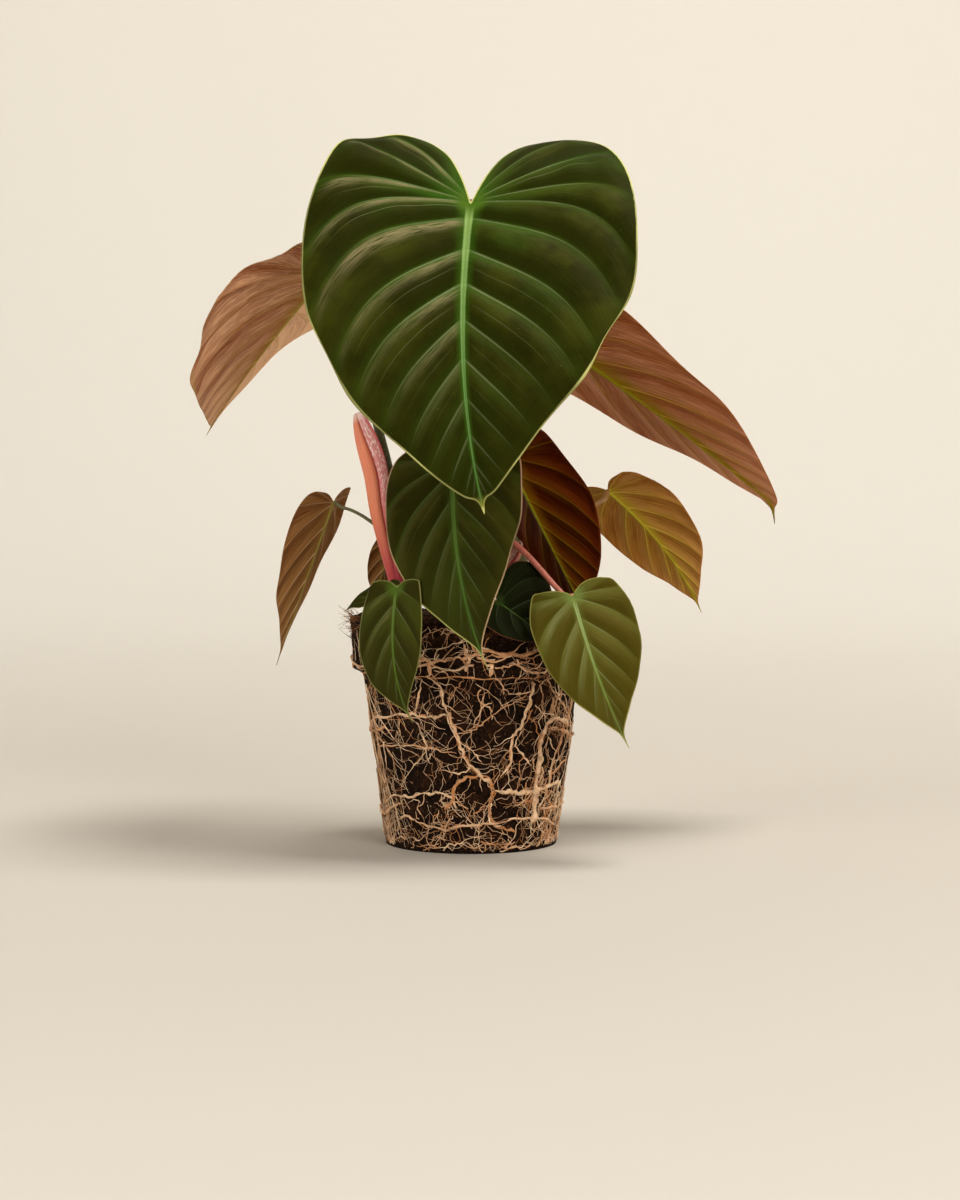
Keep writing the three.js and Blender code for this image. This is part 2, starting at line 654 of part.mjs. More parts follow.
// A heart-shaped blade whose rows follow the side veins, with the midrib as a keel underneath
function makeBlade(leaf, index) {
  const { rows, columns } = leaf.length > LARGE_BLADE ? LARGE_GRID : SMALL_GRID;
  const stations = growMidrib(leaf);
  const sheet = new Skin();
  const keel = new Map();
  const tipFaces = new Map();
  for (const side of [1, -1]) {
    const grid = [];
    for (let row = 0; row <= rows; row++) {
      const line = veinLine(leaf, side, row / rows);
      const phase = 2 * Math.PI * MARGIN_WAVES * (row / rows) + 2 * index + side;
      const vertices = [];
      for (let column = 0; column <= columns; column++) {
        const q = column / columns;
        const [across, share] = line(q);
        const wave = MARGIN_WAVE * across * q * Math.sin(phase);
        const vertex = sheet.vertex(bladePoint(leaf, stations, across, share, side, wave));
        if (column === 0) keel.set(vertex, 1 - share);
        if (share > 1 - TIP_SQUARE * leaf.tip) {
          tipFaces.set(vertex, stationAt(leaf, stations, share).face);
        }
        vertices.push(vertex);
      }
      grid.push(vertices);
    }
    for (let row = 0; row < rows; row++) {
      const [near, far] = [grid[row], grid[row + 1]];
      for (let column = 0; column < columns; column++) {
        const corners = [near[column], near[column + 1], far[column + 1], far[column]];
        if (side < 0) corners.reverse();
        sheet.quad(...corners);
      }
    }
  }
  const half = BLADE_THICKNESS / 2;
  return geometryOf(thicken(sheet, (vertex) => ({
    above: half,
    below: half + (MIDRIB_THICKNESS - half) * (keel.get(vertex) ?? 0),
    along: tipFaces.get(vertex),
  })));
}

// A stalk from inside its stem, carved back to the stem's skin, to a knee square to the blade
function makeStalk(leaf) {
  const stem = STEMS[leaf.stem];
  const [{ face }] = growMidrib(leaf);
  const start = stemPointAt(stem, leaf.height);
  const end = vector(leaf.base).addScaledVector(face, -(MIDRIB_THICKNESS + GAP));
  const knee = end.clone().addScaledVector(face, -KNEE_LENGTH);
  const curve = new THREE.CubicBezierCurve3(
    start, start.clone().add(vector(leaf.lift)), knee.clone().add(vector(leaf.hang)), knee);
  const path = [...curve.getPoints(STALK_STEPS), end];
  const radii = path.map((_, i) => THREE.MathUtils.lerp(
    leaf.radius[0], leaf.radius[1], Math.min(i / STALK_STEPS, 1) ** STALK_TAPER));
  const stalk = toManifold(roundTube(path, radii, STALK_SIDES));
  return largestBody(stalk.subtract(toManifold(makeStem(stem, GAP))));
}

// A sheath: a gutter along its spine that closes to a blunt tip
function makeSheath({ spine, facing, width, wrap }) {
  const path = new THREE.CatmullRomCurve3(spine.map(vector)).getPoints(SHEATH_ROWS);
  const outward = new THREE.Vector3(Math.cos(degrees(facing)), Math.sin(degrees(facing)), 0);
  const frames = carriedFrames(path, outward);
  const sheet = new Skin();
  const grid = path.map((centre, row) => {
    const share = row / SHEATH_ROWS;
    const blunt = Math.sqrt(1 - (SHEATH_TIP * share) ** SHEATH_BLUNTNESS);
    const radius = width * (SHEATH_FOOT_SCALE - SHEATH_NARROWING * share) * blunt;
    const open = degrees(wrap) * (1 - SHEATH_OPENING * share);
    const line = [];
    for (let column = 0; column <= SHEATH_COLUMNS; column++) {
      const angle = open * ((2 * column) / SHEATH_COLUMNS - 1);
      line.push(sheet.vertex(centre.clone()
        .addScaledVector(frames[row].across, Math.cos(angle) * radius)
        .addScaledVector(frames[row].up, Math.sin(angle) * radius)));
    }
    return line;
  });
  for (let row = 0; row < SHEATH_ROWS; row++) {
    for (let column = 0; column < SHEATH_COLUMNS; column++) {
      const [near, far] = [grid[row], grid[row + 1]];
      sheet.quad(near[column], near[column + 1], far[column + 1], far[column]);
    }
  }
  const half = SHEATH_THICKNESS / 2;
  return geometryOf(thicken(sheet, () => ({ above: half, below: half })));
}

const FINISH = {
  soil: { color: 0x2a1c14, roughness: 0.98 },
  root: { color: 0xcfa878, roughness: 0.85 },
  stem: { color: 0x6b7a3a, roughness: 0.7 },
  stalk: { color: 0x8a6a45, roughness: 0.6 },
  blade: { color: 0x2c3f1a, roughness: 0.5 },
  sheath: { color: 0xb5514a, roughness: 0.5 },
};

const plant = new THREE.Group();

function add(name, geometry, finish) {
  const material = new THREE.MeshStandardMaterial({ ...FINISH[finish], metalness: 0 });
  const mesh = new THREE.Mesh(geometry, material);
  mesh.name = name;
  plant.add(mesh);
}

add("soil_plug", makePlug(), "soil");
add("root_net", makeRootNet(), "root");
for (const [name, stem] of Object.entries(STEMS)) {
  add(`stem_${name}`, geometryOf(makeStem(stem)), "stem");
}
LEAVES.forEach((leaf, index) => {
  add(`leaf_${leaf.name}`, makeBlade(leaf, index), "blade");
  add(`stalk_${leaf.name}`, makeStalk(leaf), "stalk");
});
for (const [name, sheath] of Object.entries(SHEATHS)) {
  add(name, makeSheath(sheath), "sheath");
}

export default plant;
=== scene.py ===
"""Heart-leaved climbing philodendron, lifted out of its nursery pot with its root ball.

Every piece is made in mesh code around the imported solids, in their frame: metres, +Z up, -Y the
front. The tables below are in millimetres and degrees, and MM turns them into metres.
"""

import math
import random

import bpy
import numpy as np
from bpy.props import FloatProperty, FloatVectorProperty, IntProperty, PointerProperty
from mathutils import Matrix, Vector, noise


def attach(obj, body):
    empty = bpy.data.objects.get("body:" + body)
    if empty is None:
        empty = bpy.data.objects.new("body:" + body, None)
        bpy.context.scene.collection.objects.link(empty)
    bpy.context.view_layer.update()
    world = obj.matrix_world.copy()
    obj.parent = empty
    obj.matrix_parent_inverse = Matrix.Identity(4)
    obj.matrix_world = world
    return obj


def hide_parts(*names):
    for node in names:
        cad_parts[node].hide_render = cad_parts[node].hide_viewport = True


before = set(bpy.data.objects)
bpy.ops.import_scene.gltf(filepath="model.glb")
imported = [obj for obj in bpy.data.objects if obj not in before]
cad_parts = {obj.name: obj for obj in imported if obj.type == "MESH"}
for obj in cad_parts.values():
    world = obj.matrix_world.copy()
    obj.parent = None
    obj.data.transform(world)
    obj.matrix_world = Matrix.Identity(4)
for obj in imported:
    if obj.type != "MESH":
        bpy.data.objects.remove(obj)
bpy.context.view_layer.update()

MM = 0.001

bl_info = {
    "name": "Philodendron with root ball",
    "version": (1, 0, 0),
    "blender": (4, 5, 0),
    "location": "View3D > Sidebar > Plant",
    "description": "Builds the leaves, stalks, stems, roots and soil of a philodendron",
    "category": "Object",
}

# Soil plug: a cup with a step under its rim, as in the solids
PLUG_BASE_RADIUS = 41
PLUG_STEP_HEIGHT = 82.5
PLUG_STEP_RADIUS = 51.5
RIM_FOOT_RADIUS = 56
RIM_TOP_RADIUS = 57.2
RIM_RISE = 2
PLUG_HEIGHT = 110
PLUG_EDGE = 109
SOIL_LUMP = 0.45
# Linear colour of the painted shade in the deepest hollows between crumbs
SOIL_HOLLOW_SHADE = (0.002, 0.001, 0.001, 1)
# The uneven top: share of the plug's radius against rise over the edge
SOIL_TOP_SHARES = [0, 0.3, 0.62, 0.93, 1]
SOIL_TOP_RISES = [1.4, 1.1, 0.4, 1.2, 0]
# Mesh of the plug: points round it, rings under it as shares of its radius, then how many rings
# its wall, its step, its rim and its top have
PLUG_COLUMNS = 380
UNDERSIDE_SHARES = (0.35, 0.7, 0.95)
WALL_RINGS = 92
STEP_RINGS = 7
RIM_RINGS = 30
TOP_RINGS = 52

# Stems: foot and top of each, and the shape that they share
STEM_FOOT_HEIGHT = 98.3
STEM_BEND_HEIGHT = 114
STEM_RADIUS = 4.4
STEM_LEAN = [0.35, 0.7, 1]
STEM_POINTS = 60
STEM_JOINTS = 5
JOINT_RISE = 0.25
STEMS = {
    "left": {"foot": (-30, -4), "top": (-34, 1, 152)},
    "middle": {"foot": (-3, -11), "top": (-6, -13, 166)},
    "back": {"foot": (23, 38), "top": (25, 36, 158)},
}

# Blade form, the same formulas as in the solids
MIDRIB_STEPS = 96
LATERAL_START = 0.2
LATERAL_POWER = 2.2
LATERAL_ARCH = 0.55
LATERAL_ARCH_POWER = 4
FULL_BOW = 0.75
SINUS_EDGE = 0.25
SINUS_REACH = 0.3
MARGIN_WAVE = 0.02
MARGIN_WAVES = 4.5
RUFFLE = 0.01
RUFFLES = 6.3
TIP_SHOULDER = 0.12
TIP_NECK = 0.6
TIP_NECK_WIDTH = 0.028
# Side veins by number, from the edge of the sinus at -1 to past the drip tip, against their rows
VEIN_NUMBERS = [-1, 0, 1, 2, 3, 4, 5, 6, 7, 8, 9, 10, 11, 12, 13, 14.5]
VEIN_ROWS = [0, 0.09, 0.19, 0.285, 0.375, 0.455, 0.52, 0.57, 0.615, 0.66, 0.705, 0.75, 0.8, 0.86,
             0.92, 1]
VEIN_COUNT = 11
# The side veins of the left half count on from here, so that both halves get their own draws
LEFT_NUMBERS = 24
LOBE_BEND_REACH = 0.2
MIDRIB_THICKNESS = 1.4
# A stalk bends at a knee under the blade's base and ends a little under its surface
KNEE_GAP = 0.3
KNEE_LENGTH = 4
STALK_SUNK = 0.4
STALK_TAPER = 0.7

# Finer form that the solids leave out. A hook turns the drip tip from this share of the midrib
# on. Nicks run round the margin at two rates. A wave in the margin has a spread and a rate.
HOOK_START = 0.91
NICK = 0.007
NICK_RATES = (29, 61)
WAVE_SPREAD = 0.06
WAVE_RATE = 50
# Blades longer than LARGE_BLADE have the finer mesh. A mesh is given as rows for each side vein and
# columns from the midrib to the margin. Points of a blade that are closer than WELD become one.
LARGE_BLADE = 95
LARGE_MESH = (10, 40)
SMALL_MESH = (8, 26)
WELD = 0.002
MARGIN_POINTS = 500
STALK_POINTS = 70
KNEE_POINTS = 6

# Each leaf. Pairs are right and left, seen from the base with the upper face up.
# Blade: base, length and half widths; heading, pitch and roll of the midrib at the base, and its
# droop, sway and twist from there to the tip; fold and curl of the halves; lobe, belly and tip as
# shares of the length; back bends the lobes, shoulder fills them, laterals counts the side veins.
# Stalk: its stem, the height where it leaves the stem, the pull on its curve at the foot (lift)
# and below the blade (hang), and its radius at foot and top.
# Only some have a wave in the margin (right, left, place along it), a hook at the drip tip, or an
# underside that is faded (right, left). Look names the colours.
LEAVES = {
    "crown": dict(
        base=(0, -32, 305), length=158, width=(76, 80), heading=-99, pitch=54, roll=-7, droop=35,
        sway=17, twist=6, fold=11, curl=-10, lobe=(0.26, 0.32), belly=0.14, tip=0.07, back=25,
        shoulder=0.13, stem="middle", height=156, lift=(3, 2, 60), hang=(2, 22, -42),
        radius=(2.8, 2.1), laterals=11, wave=(0.018, 0.022, 0.65), look="crown"),
    "high_left": dict(
        base=(-69.5, 14, 274), length=124, width=(75, 75), heading=132, pitch=35, roll=-11,
        droop=10, sway=6, twist=-25, fold=3, curl=-7, lobe=(0.2, 0.24), belly=0.03, tip=0.1,
        back=1, shoulder=-0.5, stem="left", height=143, lift=(-5, 3, 40), hang=(10, -8, -30),
        radius=(2.6, 1.8), laterals=9, wave=(0, 0.055, 0.6), faded=(0.8, 0), look="salmon"),
    "high_right": dict(
        base=(36, 12, 244.5), length=160, width=(51, 51), heading=15, pitch=33, roll=-19,
        droop=-2, sway=18, twist=8, fold=9, curl=-6, lobe=(0.18, 0.18), belly=0.06, tip=0.08,
        back=15, shoulder=0, stem="back", height=150, lift=(4, -4, 34), hang=(2, 4, -26),
        radius=(2.6, 1.9), laterals=9, hook=0.3, faded=(0, 0.2), look="copper"),
    "front": dict(
        base=(-8.5, -40, 184.5), length=109, width=(35, 35), heading=-91, pitch=56, roll=22,
        droop=22, sway=16, twist=2, fold=5, curl=-12, lobe=(0.12, 0.12), belly=0.11, tip=0.15,
        back=13, shoulder=-0.4, stem="middle", height=146, lift=(-3, -6, 26), hang=(2, 12, -8),
        radius=(2.3, 1.6), laterals=8, look="dark"),
    "inner_right": dict(
        base=(17, -14, 186), length=99, width=(35, 35), heading=48, pitch=53, roll=4, droop=9,
        sway=-11, twist=-5, fold=16, curl=-7, lobe=(0.16, 0.14), belly=0.19, tip=0.1, back=7,
        shoulder=-0.5, stem="middle", height=126, lift=(4, 7, 20), hang=(-4, -1, -18),
        radius=(2.2, 1.6), laterals=8, look="maroon"),
    "outer_right": dict(
        base=(67.5, 42, 168.5), length=82, width=(29, 29), heading=31, pitch=36, roll=-20,
        droop=40, sway=-1, twist=-6, fold=5, curl=-7, lobe=(0.08, 0.08), belly=0.18, tip=0.12,
        back=12, shoulder=-0.4, stem="back", height=130, lift=(10, 3, 16), hang=(-12, -4, -6),
        radius=(1.7, 1.2), laterals=7, look="amber"),
    "outer_left": dict(
        base=(-66.5, 6, 164), length=89, width=(23, 22), heading=132, pitch=61, roll=-14, droop=9,
        sway=16, twist=-11, fold=17, curl=-5, lobe=(0.04, 0.06), belly=0.16, tip=0.14, back=14,
        shoulder=-0.1, stem="left", height=136, lift=(-6, 3, 12), hang=(9, -2, -1),
        radius=(1.1, 0.75), laterals=7, faded=(0.5, 0.1), look="tan"),
    "low_right": dict(
        base=(47, -58, 123), length=78, width=(24, 26), heading=-65, pitch=57, roll=15, droop=23,
        sway=17, twist=4, fold=9, curl=-10, lobe=(0.04, 0.08), belly=0.17, tip=0.14, back=14,
        shoulder=-0.6, stem="middle", height=144, lift=(18, -14, 22), hang=(-12, 2, 8),
        radius=(2, 1.2), laterals=7, look="olive"),
    "low_left": dict(
        base=(-34, -60.8, 127), length=66, width=(18, 16), heading=-112, pitch=68, roll=11,
        droop=24, sway=29, twist=-4, fold=6, curl=-10, lobe=(0.05, 0.05), belly=0.31, tip=0.13,
        back=15, shoulder=-0.3, stem="left", height=118, lift=(5, -14, 10), hang=(3, 14, 2),
        radius=(1.6, 1.1), laterals=6, look="moss"),
    "back_left": dict(
        base=(-38.5, 18, 144.5), length=36, width=(9, 9), heading=118, pitch=54, roll=2, droop=19,
        sway=5, twist=-1, fold=13, curl=-10, lobe=(0.09, 0.09), belly=0.22, tip=0.1, back=15,
        shoulder=0.1, stem="left", height=124, lift=(0, 5, 9), hang=(1, -5, -6),
        radius=(1.4, 1), laterals=5, look="tan"),
    "rim_left": dict(
        base=(-35, -30, 122.5), length=27, width=(14, 14), heading=179, pitch=11, roll=-19,
        droop=25, sway=-4, twist=2, fold=13, curl=-16, lobe=(0.08, 0.08), belly=0.21, tip=0.12,
        back=15, shoulder=0, stem="left", height=112.5, lift=(9, -6, 3), hang=(7, 4, 0),
        radius=(1.3, 0.9), laterals=5, look="moss"),
    "shade": dict(
        base=(12, -53, 120), length=36, width=(23, 27), heading=-5, pitch=34, roll=43, droop=10,
        sway=-4, twist=-4, fold=14, curl=4, lobe=(0.1, 0.12), belly=0.11, tip=0.15, back=18,
        shoulder=0, stem="middle", height=116, lift=(4, -12, 9), hang=(-1, 12, 2),
        radius=(1.5, 1.1), laterals=6, look="painted_shadow"),
}

# Colours of each kind of blade, as seen. Upper face: its light and dark patches, the dark one also
# laid on as painted shade on the lower side of each field, along the veins, the sheen, a painted
# highlight where the velvet catches light, the veins, the midrib at the base and the tip, the hub
# where the veins meet, and the margin, which may turn to margin_low towards the tip. Underside: its
# light and dark patches, its pale streaks, which also carry a painted highlight in each field, the
# glow along the veins, the lines on them and the midrib.
LOOKS = {
    "crown": dict(
        upper="#343709", deep="#1c1e02", band="#31500f", sheen="#766c4a", vein="#92986e",
        midrib="#84a058", midrib_tip="#587c40", hub="#446016", margin="#d2cf80", under="#7a4a2a",
        shadow="#5c3218", streak="#a87a52", glow="#7a6a24", line="#b09045", rib_under="#8a8a34"),
    "dark": dict(
        upper="#3b390f", deep="#242306", band="#394a16", sheen="#4a4426", vein="#62704a",
        midrib="#56702f", midrib_tip="#48642a", hub="#425818", margin="#c8a080", under="#5f3018",
        shadow="#42200e", streak="#8a5530", glow="#5f4a14", line="#a58535", rib_under="#7f8a34",
        margin_low="#a8a860"),
    # Darker colours for the small leaf deep under the others: a painted shadow
    "painted_shadow": dict(
        upper="#14150a", deep="#0e0f04", band="#1b260a", sheen="#24221a", vein="#5c6c4a",
        midrib="#4c6432", midrib_tip="#3c5020", hub="#2c3c14", margin="#7a4a34", under="#43200f",
        shadow="#2c1408", streak="#5c3a22", glow="#42340e", line="#75602a", rib_under="#5c6428"),
    "moss": dict(
        upper="#38350f", deep="#29270a", band="#3e4614", sheen="#5c5a30", vein="#74805a",
        midrib="#5f7638", midrib_tip="#526e28", hub="#4a6020", margin="#8c8a50", under="#7a4a20",
        shadow="#5c3414", streak="#a07840", glow="#7a6a20", line="#b09a4a", rib_under="#8a9038"),
    "olive": dict(
        upper="#52481a", deep="#41380a", band="#5a5e24", sheen="#6e6c42", vein="#88905e",
        midrib="#90a064", midrib_tip="#6c803a", hub="#6c7a3a", margin="#98924c", under="#9a6a35",
        shadow="#7a4c20", streak="#c09a62", glow="#8f7c2c", line="#c4ad60", rib_under="#9a9c48"),
    "salmon": dict(
        upper="#3a4210", deep="#2a300a", band="#45591c", sheen="#5f6238", vein="#8ba26c",
        midrib="#7f9442", midrib_tip="#5c7030", hub="#66803a", margin="#c0a060", under="#a8603a",
        shadow="#7c3e20", streak="#f0c096", glow="#a67c40", line="#ddb066", rib_under="#aa9a41"),
    "copper": dict(
        upper="#3b3e10", deep="#2a2c08", band="#44561c", sheen="#5a5a34", vein="#8b9c69",
        midrib="#7f9042", midrib_tip="#5c6c30", hub="#66783a", margin="#b87034", under="#a15826",
        shadow="#7a3b14", streak="#d49470", glow="#866a10", line="#d4a144", rib_under="#8f8317"),
    "maroon": dict(
        upper="#2c2c0a", deep="#1d1e04", band="#3a4618", sheen="#4a482a", vein="#7f8f60",
        midrib="#6f8a3a", midrib_tip="#556a2c", hub="#58682c", margin="#7a3c1a", under="#4c1703",
        shadow="#350c02", streak="#722e0b", glow="#7a5208", line="#996f10", rib_under="#9c9d25"),
    "amber": dict(
        upper="#4c4c14", deep="#38380a", band="#5c6826", sheen="#6a6a3c", vein="#97a36e",
        midrib="#8c9c48", midrib_tip="#6c7c34", hub="#7c8c40", margin="#c07c30", under="#a86c29",
        shadow="#814b17", streak="#d39b56", glow="#a58a26", line="#dcbd47", rib_under="#bfb130"),
    "tan": dict(
        upper="#46461a", deep="#343410", band="#525c28", sheen="#606038", vein="#8f9c6c",
        midrib="#8a9448", midrib_tip="#66742f", hub="#707c3a", margin="#9a6a34", under="#804e28",
        shadow="#643818", streak="#b48450", glow="#8a6434", line="#dcb484", rib_under="#a29648"),
}

# Stalk colours from the stem to the blade
STALK_LOOKS = {
    "crown": ("#5a2c1c", "#7a5a30"), "high_left": ("#33401a", "#4c5a28"),
    "high_right": ("#6e3a2c", "#a86050"), "front": ("#5a3a20", "#7a6a38"),
    "inner_right": ("#6a2a20", "#b0574c"), "outer_right": ("#7a4a30", "#a0743c"),
    "outer_left": ("#4c4a24", "#66663a"), "low_right": ("#a04438", "#cf7a62"),
    "low_left": ("#4c3a1c", "#76803c"), "back_left": ("#4c3a20", "#7c7040"),
    "rim_left": ("#4c4420", "#70803c"), "shade": ("#4a2c1c", "#6a4a2c"),
}

# Leaf sheaths: gutters that wrap a stem at the foot. Swell is their width at SHEATH_SHARES of the
# spine, and a crease that bends parts the gutter into a left and a right facet. Spark is the colour
# of the painted glints and of the painted highlight at the tip.
SHEATH_ROWS = 90
SHEATH_COLUMNS = 28
SHEATH_SHARES = [0, 0.25, 0.55, 0.8, 1]
SHEATH_OPENING = 0.12
SHEATH_BLUNTNESS = 10
SHEATH_TIP = 0.985
CREASE_BEND = 1.6
CREASE_WIDTH = 0.13
CREASE_DEPTH = 0.24
SHEATH_EDGE = "#c04a40"
SHEATH_CREASE = "#a02c28"
SHEATHS = {
    "sheath_tall": dict(
        spine=[(-31, -5, 112.5), (-36, -7, 131), (-42, -8, 158), (-45, -7, 182), (-53.5, -6, 207)],
        swell=[0.75, 0.9, 1.3, 1.55, 1.3], facing=-118, width=4.6, wrap=78,
        left=("#c43c46", "#e88a62"), right=("#c03c4c", "#d46c6c"), spark="#fbe6dc"),
    "sheath_short": dict(
        spine=[(3, -8, 113), (8, -8, 124), (15, -9, 135), (23, -11, 146)],
        swell=[0.92, 1, 1.3, 1.28, 1.05], facing=20, width=4.4, wrap=75,
        left=("#7a4638", "#b07058"), right=("#8a5040", "#b87a62"), spark="#d8b8a0"),
}

# The sheet of paper that the plant stands on, bent up behind it
FLOOR_FRONT = -3500
FLOOR_SIDE = 4000
FLOOR_BACK = 1000
BEND_RADIUS = 900
BEND_POINTS = 24
WALL_HEIGHT = 3200

# The rest of the studio, in metres: how far out the paper starts and ends to glow like the
# horizon, then the square lamps and the camera, which looks down by its dip
GLOW_REACH = (1.2, 3.2)
GLOW_STRENGTH = 0.55
LAMP_COLOUR = (1, 0.985, 0.965)
LAMPS = {
    "overhead": dict(place=(0.6, -0.1, 2.4), aim=(0, 0, 0.2), width=1.0, power=54),
    "front": dict(place=(1.2, -2.4, 1.5), aim=(0, 0, 0.15), width=1.2, power=30),
    "side": dict(place=(-2.0, -1.7, 1.0), aim=(0, 0, 0.15), width=1.0, power=20),
}
CAMERA_PLACE = (0.0043, -1.44, 0.2126)
CAMERA_DIP = 3.8
CAMERA_LENS = 90
CAMERA_SENSOR = 36

# The main roots on the front: radius, then [across, up] points seen from the front
FRONT_ROOTS = [
    (0.85, [(-20, 85), (-14, 78), (-12, 70), (-9, 63), (-6, 55), (-3, 47), (2, 40), (7, 36),
            (11, 30)]),
    (1.0, [(11, 30), (19, 29), (24, 29), (30, 29), (37, 30), (41, 32)]),
    (0.8, [(11, 30), (9, 26), (9, 21), (10, 15), (15, 12), (21, 10)]),
    (0.7, [(11, 31), (7, 37), (-1, 37), (-6, 33), (-9, 25), (-12, 21)]),
    (1.3, [(45, 60), (39, 63), (35, 60), (33, 52), (32, 44), (31, 36), (30, 26), (30, 18),
           (28, 13)]),
    (0.8, [(28, 82), (28, 76), (25, 67), (22, 59), (19, 53), (18, 43), (14, 37)]),
    (0.5, [(28, 77), (21, 76), (16, 78), (13, 82), (11, 84)]),
    (0.4, [(6, 75), (5, 72), (9, 69), (10, 64)]),
    (0.4, [(-9, 62), (-1, 59), (4, 61), (11, 67), (21, 73), (25, 75)]),
    (0.65, [(-48, 59), (-36, 65), (-26, 66), (-18, 65), (-12, 67)]),
    (0.4, [(-44, 49), (-36, 50), (-25, 51), (-17, 50), (-7, 48)]),
    (0.4, [(-12, 67), (-7, 56), (0, 50), (5, 44)]),
    (0.3, [(-25, 62), (-22, 56), (-21, 49), (-26, 42), (-33, 32)]),
    (0.45, [(-41, 21), (-36, 26), (-29, 26), (-23, 28), (-17, 29), (-9, 27), (-6, 21)]),
    (0.5, [(-40, 7), (-32, 16), (-23, 14), (-12, 12), (2, 14), (10, 15), (24, 16), (37, 13),
           (42, 9)]),
    (0.5, [(-13, 40), (-4, 39), (0, 42)]),
    (0.45, [(-24, 84), (-24, 75), (-26, 66)]),
    (0.3, [(-3, 84), (-7, 78), (-10, 73)]),
    (0.55, [(-50, 74), (-47, 59), (-45, 45), (-42, 30), (-41, 17), (-40, 4)]),
    (0.45, [(-49, 76), (-45, 61), (-42, 44), (-40, 31), (-36, 18), (-33, 4)]),
    (0.8, [(-25, 93), (-22, 93), (-19, 90), (-19, 84)]),
    (0.8, [(-19, 91), (-10, 93), (-1, 94), (5, 97)]),
    (0.7, [(-3, 100), (-1, 93), (-2, 87)]),
    (0.7, [(2, 99), (4, 93), (10, 90), (9, 84)]),
    (0.9, [(4, 98), (14, 96), (24, 95), (33, 96), (39, 92)]),
    (0.6, [(21, 93), (24, 88), (30, 86), (36, 86)]),
    (0.5, [(11, 89), (17, 90), (22, 91), (27, 92)]),
    (0.35, [(-52, 83), (-37, 83), (-14, 84), (10, 84), (24, 84), (36, 84)]),
    (0.5, [(36, 84), (40, 73), (46, 62), (48, 48)]),
    (0.5, [(48, 73), (45, 61), (41, 50), (38, 40), (37, 28)]),
    (0.45, [(45, 43), (40, 38), (35, 32), (37, 22), (41, 14)]),
    (0.4, [(24, 59), (21, 52), (25, 46), (29, 41)]),
]
# Thin roots that ring the plug at these heights, from the front's right round the back
RING_HEIGHTS = [20, 54, 86]

# Tangles of finer roots: angles round the plug in degrees with -90 at the front, heights, how
# many start there, their length, radius, how much they waver and which way they run
TANGLES = [
    ((-180, 180), (8, 104), 26, 34, 0.26, 0.28, "down"),
    ((-180, 180), (4, 27), 110, 20, 0.27, 0.62, "any"),
    ((-180, 180), (0, 7), 46, 22, 0.34, 0.4, "along"),
    ((-180, 180), (88, 102), 26, 20, 0.34, 0.4, "any"),
    ((-150, -30), (89, 98), 13, 32, 0.55, 0.26, "along"),
    ((-58, -20), (12, 84), 44, 24, 0.38, 0.4, "down"),
    ((-166, -148), (24, 84), 12, 44, 0.34, 0.16, "down"),
    ((30, 80), (20, 84), 30, 32, 0.4, 0.36, "down"),
    ((100, 170), (20, 84), 24, 36, 0.38, 0.34, "down"),
    ((-180, 180), (6, 86), 100, 13, 0.15, 0.5, "any"),
]


def linear(channel):
    """One sRGB channel, 0 to 1, as linear light."""
    if channel <= 0.04045:
        return channel / 12.92
    return ((channel + 0.055) / 1.055) ** 2.4


def channels(code):
    """The three channels, 0 to 1, of a colour written as #rrggbb."""
    return [int(code[i:i + 2], 16) / 255 for i in (1, 3, 5)]


def seen(colour):
    """A colour property, which holds what is seen, as the linear colour of a shader socket."""
    return (*[linear(channel) for channel in colour], 1)


def paint(code):
    """A colour written as #rrggbb, as the linear colour of a shader socket."""
    return seen(channels(code))


def smoothstep(value, low, high):
    """0 at low and 1 at high, with soft ends."""
    share = np.clip((value - low) / (high - low), 0, 1)
    return share * share * (3 - 2 * share)


def hump(value, width):
    """1 where the value is 0, and next to nothing past twice the width."""
    return np.exp(-(value / width) ** 2)


def rounded(wave, softness):
    """The size of a wave, with its creases rounded off."""
    return np.sqrt(wave ** 2 + softness)


def fixed_draw(number, seed):
    """A value from 0 to 1 that looks random and is the same each time."""
    draw = np.sin(number * 12.99 + seed * 7.1) * 43758.55
    return draw - np.floor(draw)


def unit(vectors):
    """Vectors brought to a length of 1."""
    return vectors / np.maximum(np.linalg.norm(vectors, axis=-1, keepdims=True), 1e-9)


def smooth_line(points, places):
    """Places along a smooth line through points, counted in the spans between them."""
    points = np.asarray(points, float)
    padded = np.vstack([2 * points[0] - points[1], points, 2 * points[-1] - points[-2]])
    index = np.minimum(places.astype(int), len(points) - 2)
    u = (places - index)[..., None]
    a, b, c, d = (padded[index + step] for step in range(4))
    return 0.5 * (2 * b + (c - a) * u + (2 * a - 5 * b + 4 * c - d) * u ** 2
                  + (3 * b - a - 3 * c + d) * u ** 3)


def spline(points, count):
    """A smooth line through points, as a count of points."""
    return smooth_line(points, np.linspace(0, len(points) - 1, count))


def bezier(a, b, c, d, count):
    t = np.linspace(0, 1, count)[:, None]
    return a * (1 - t) ** 3 + 3 * b * t * (1 - t) ** 2 + 3 * c * t * t * (1 - t) + d * t ** 3


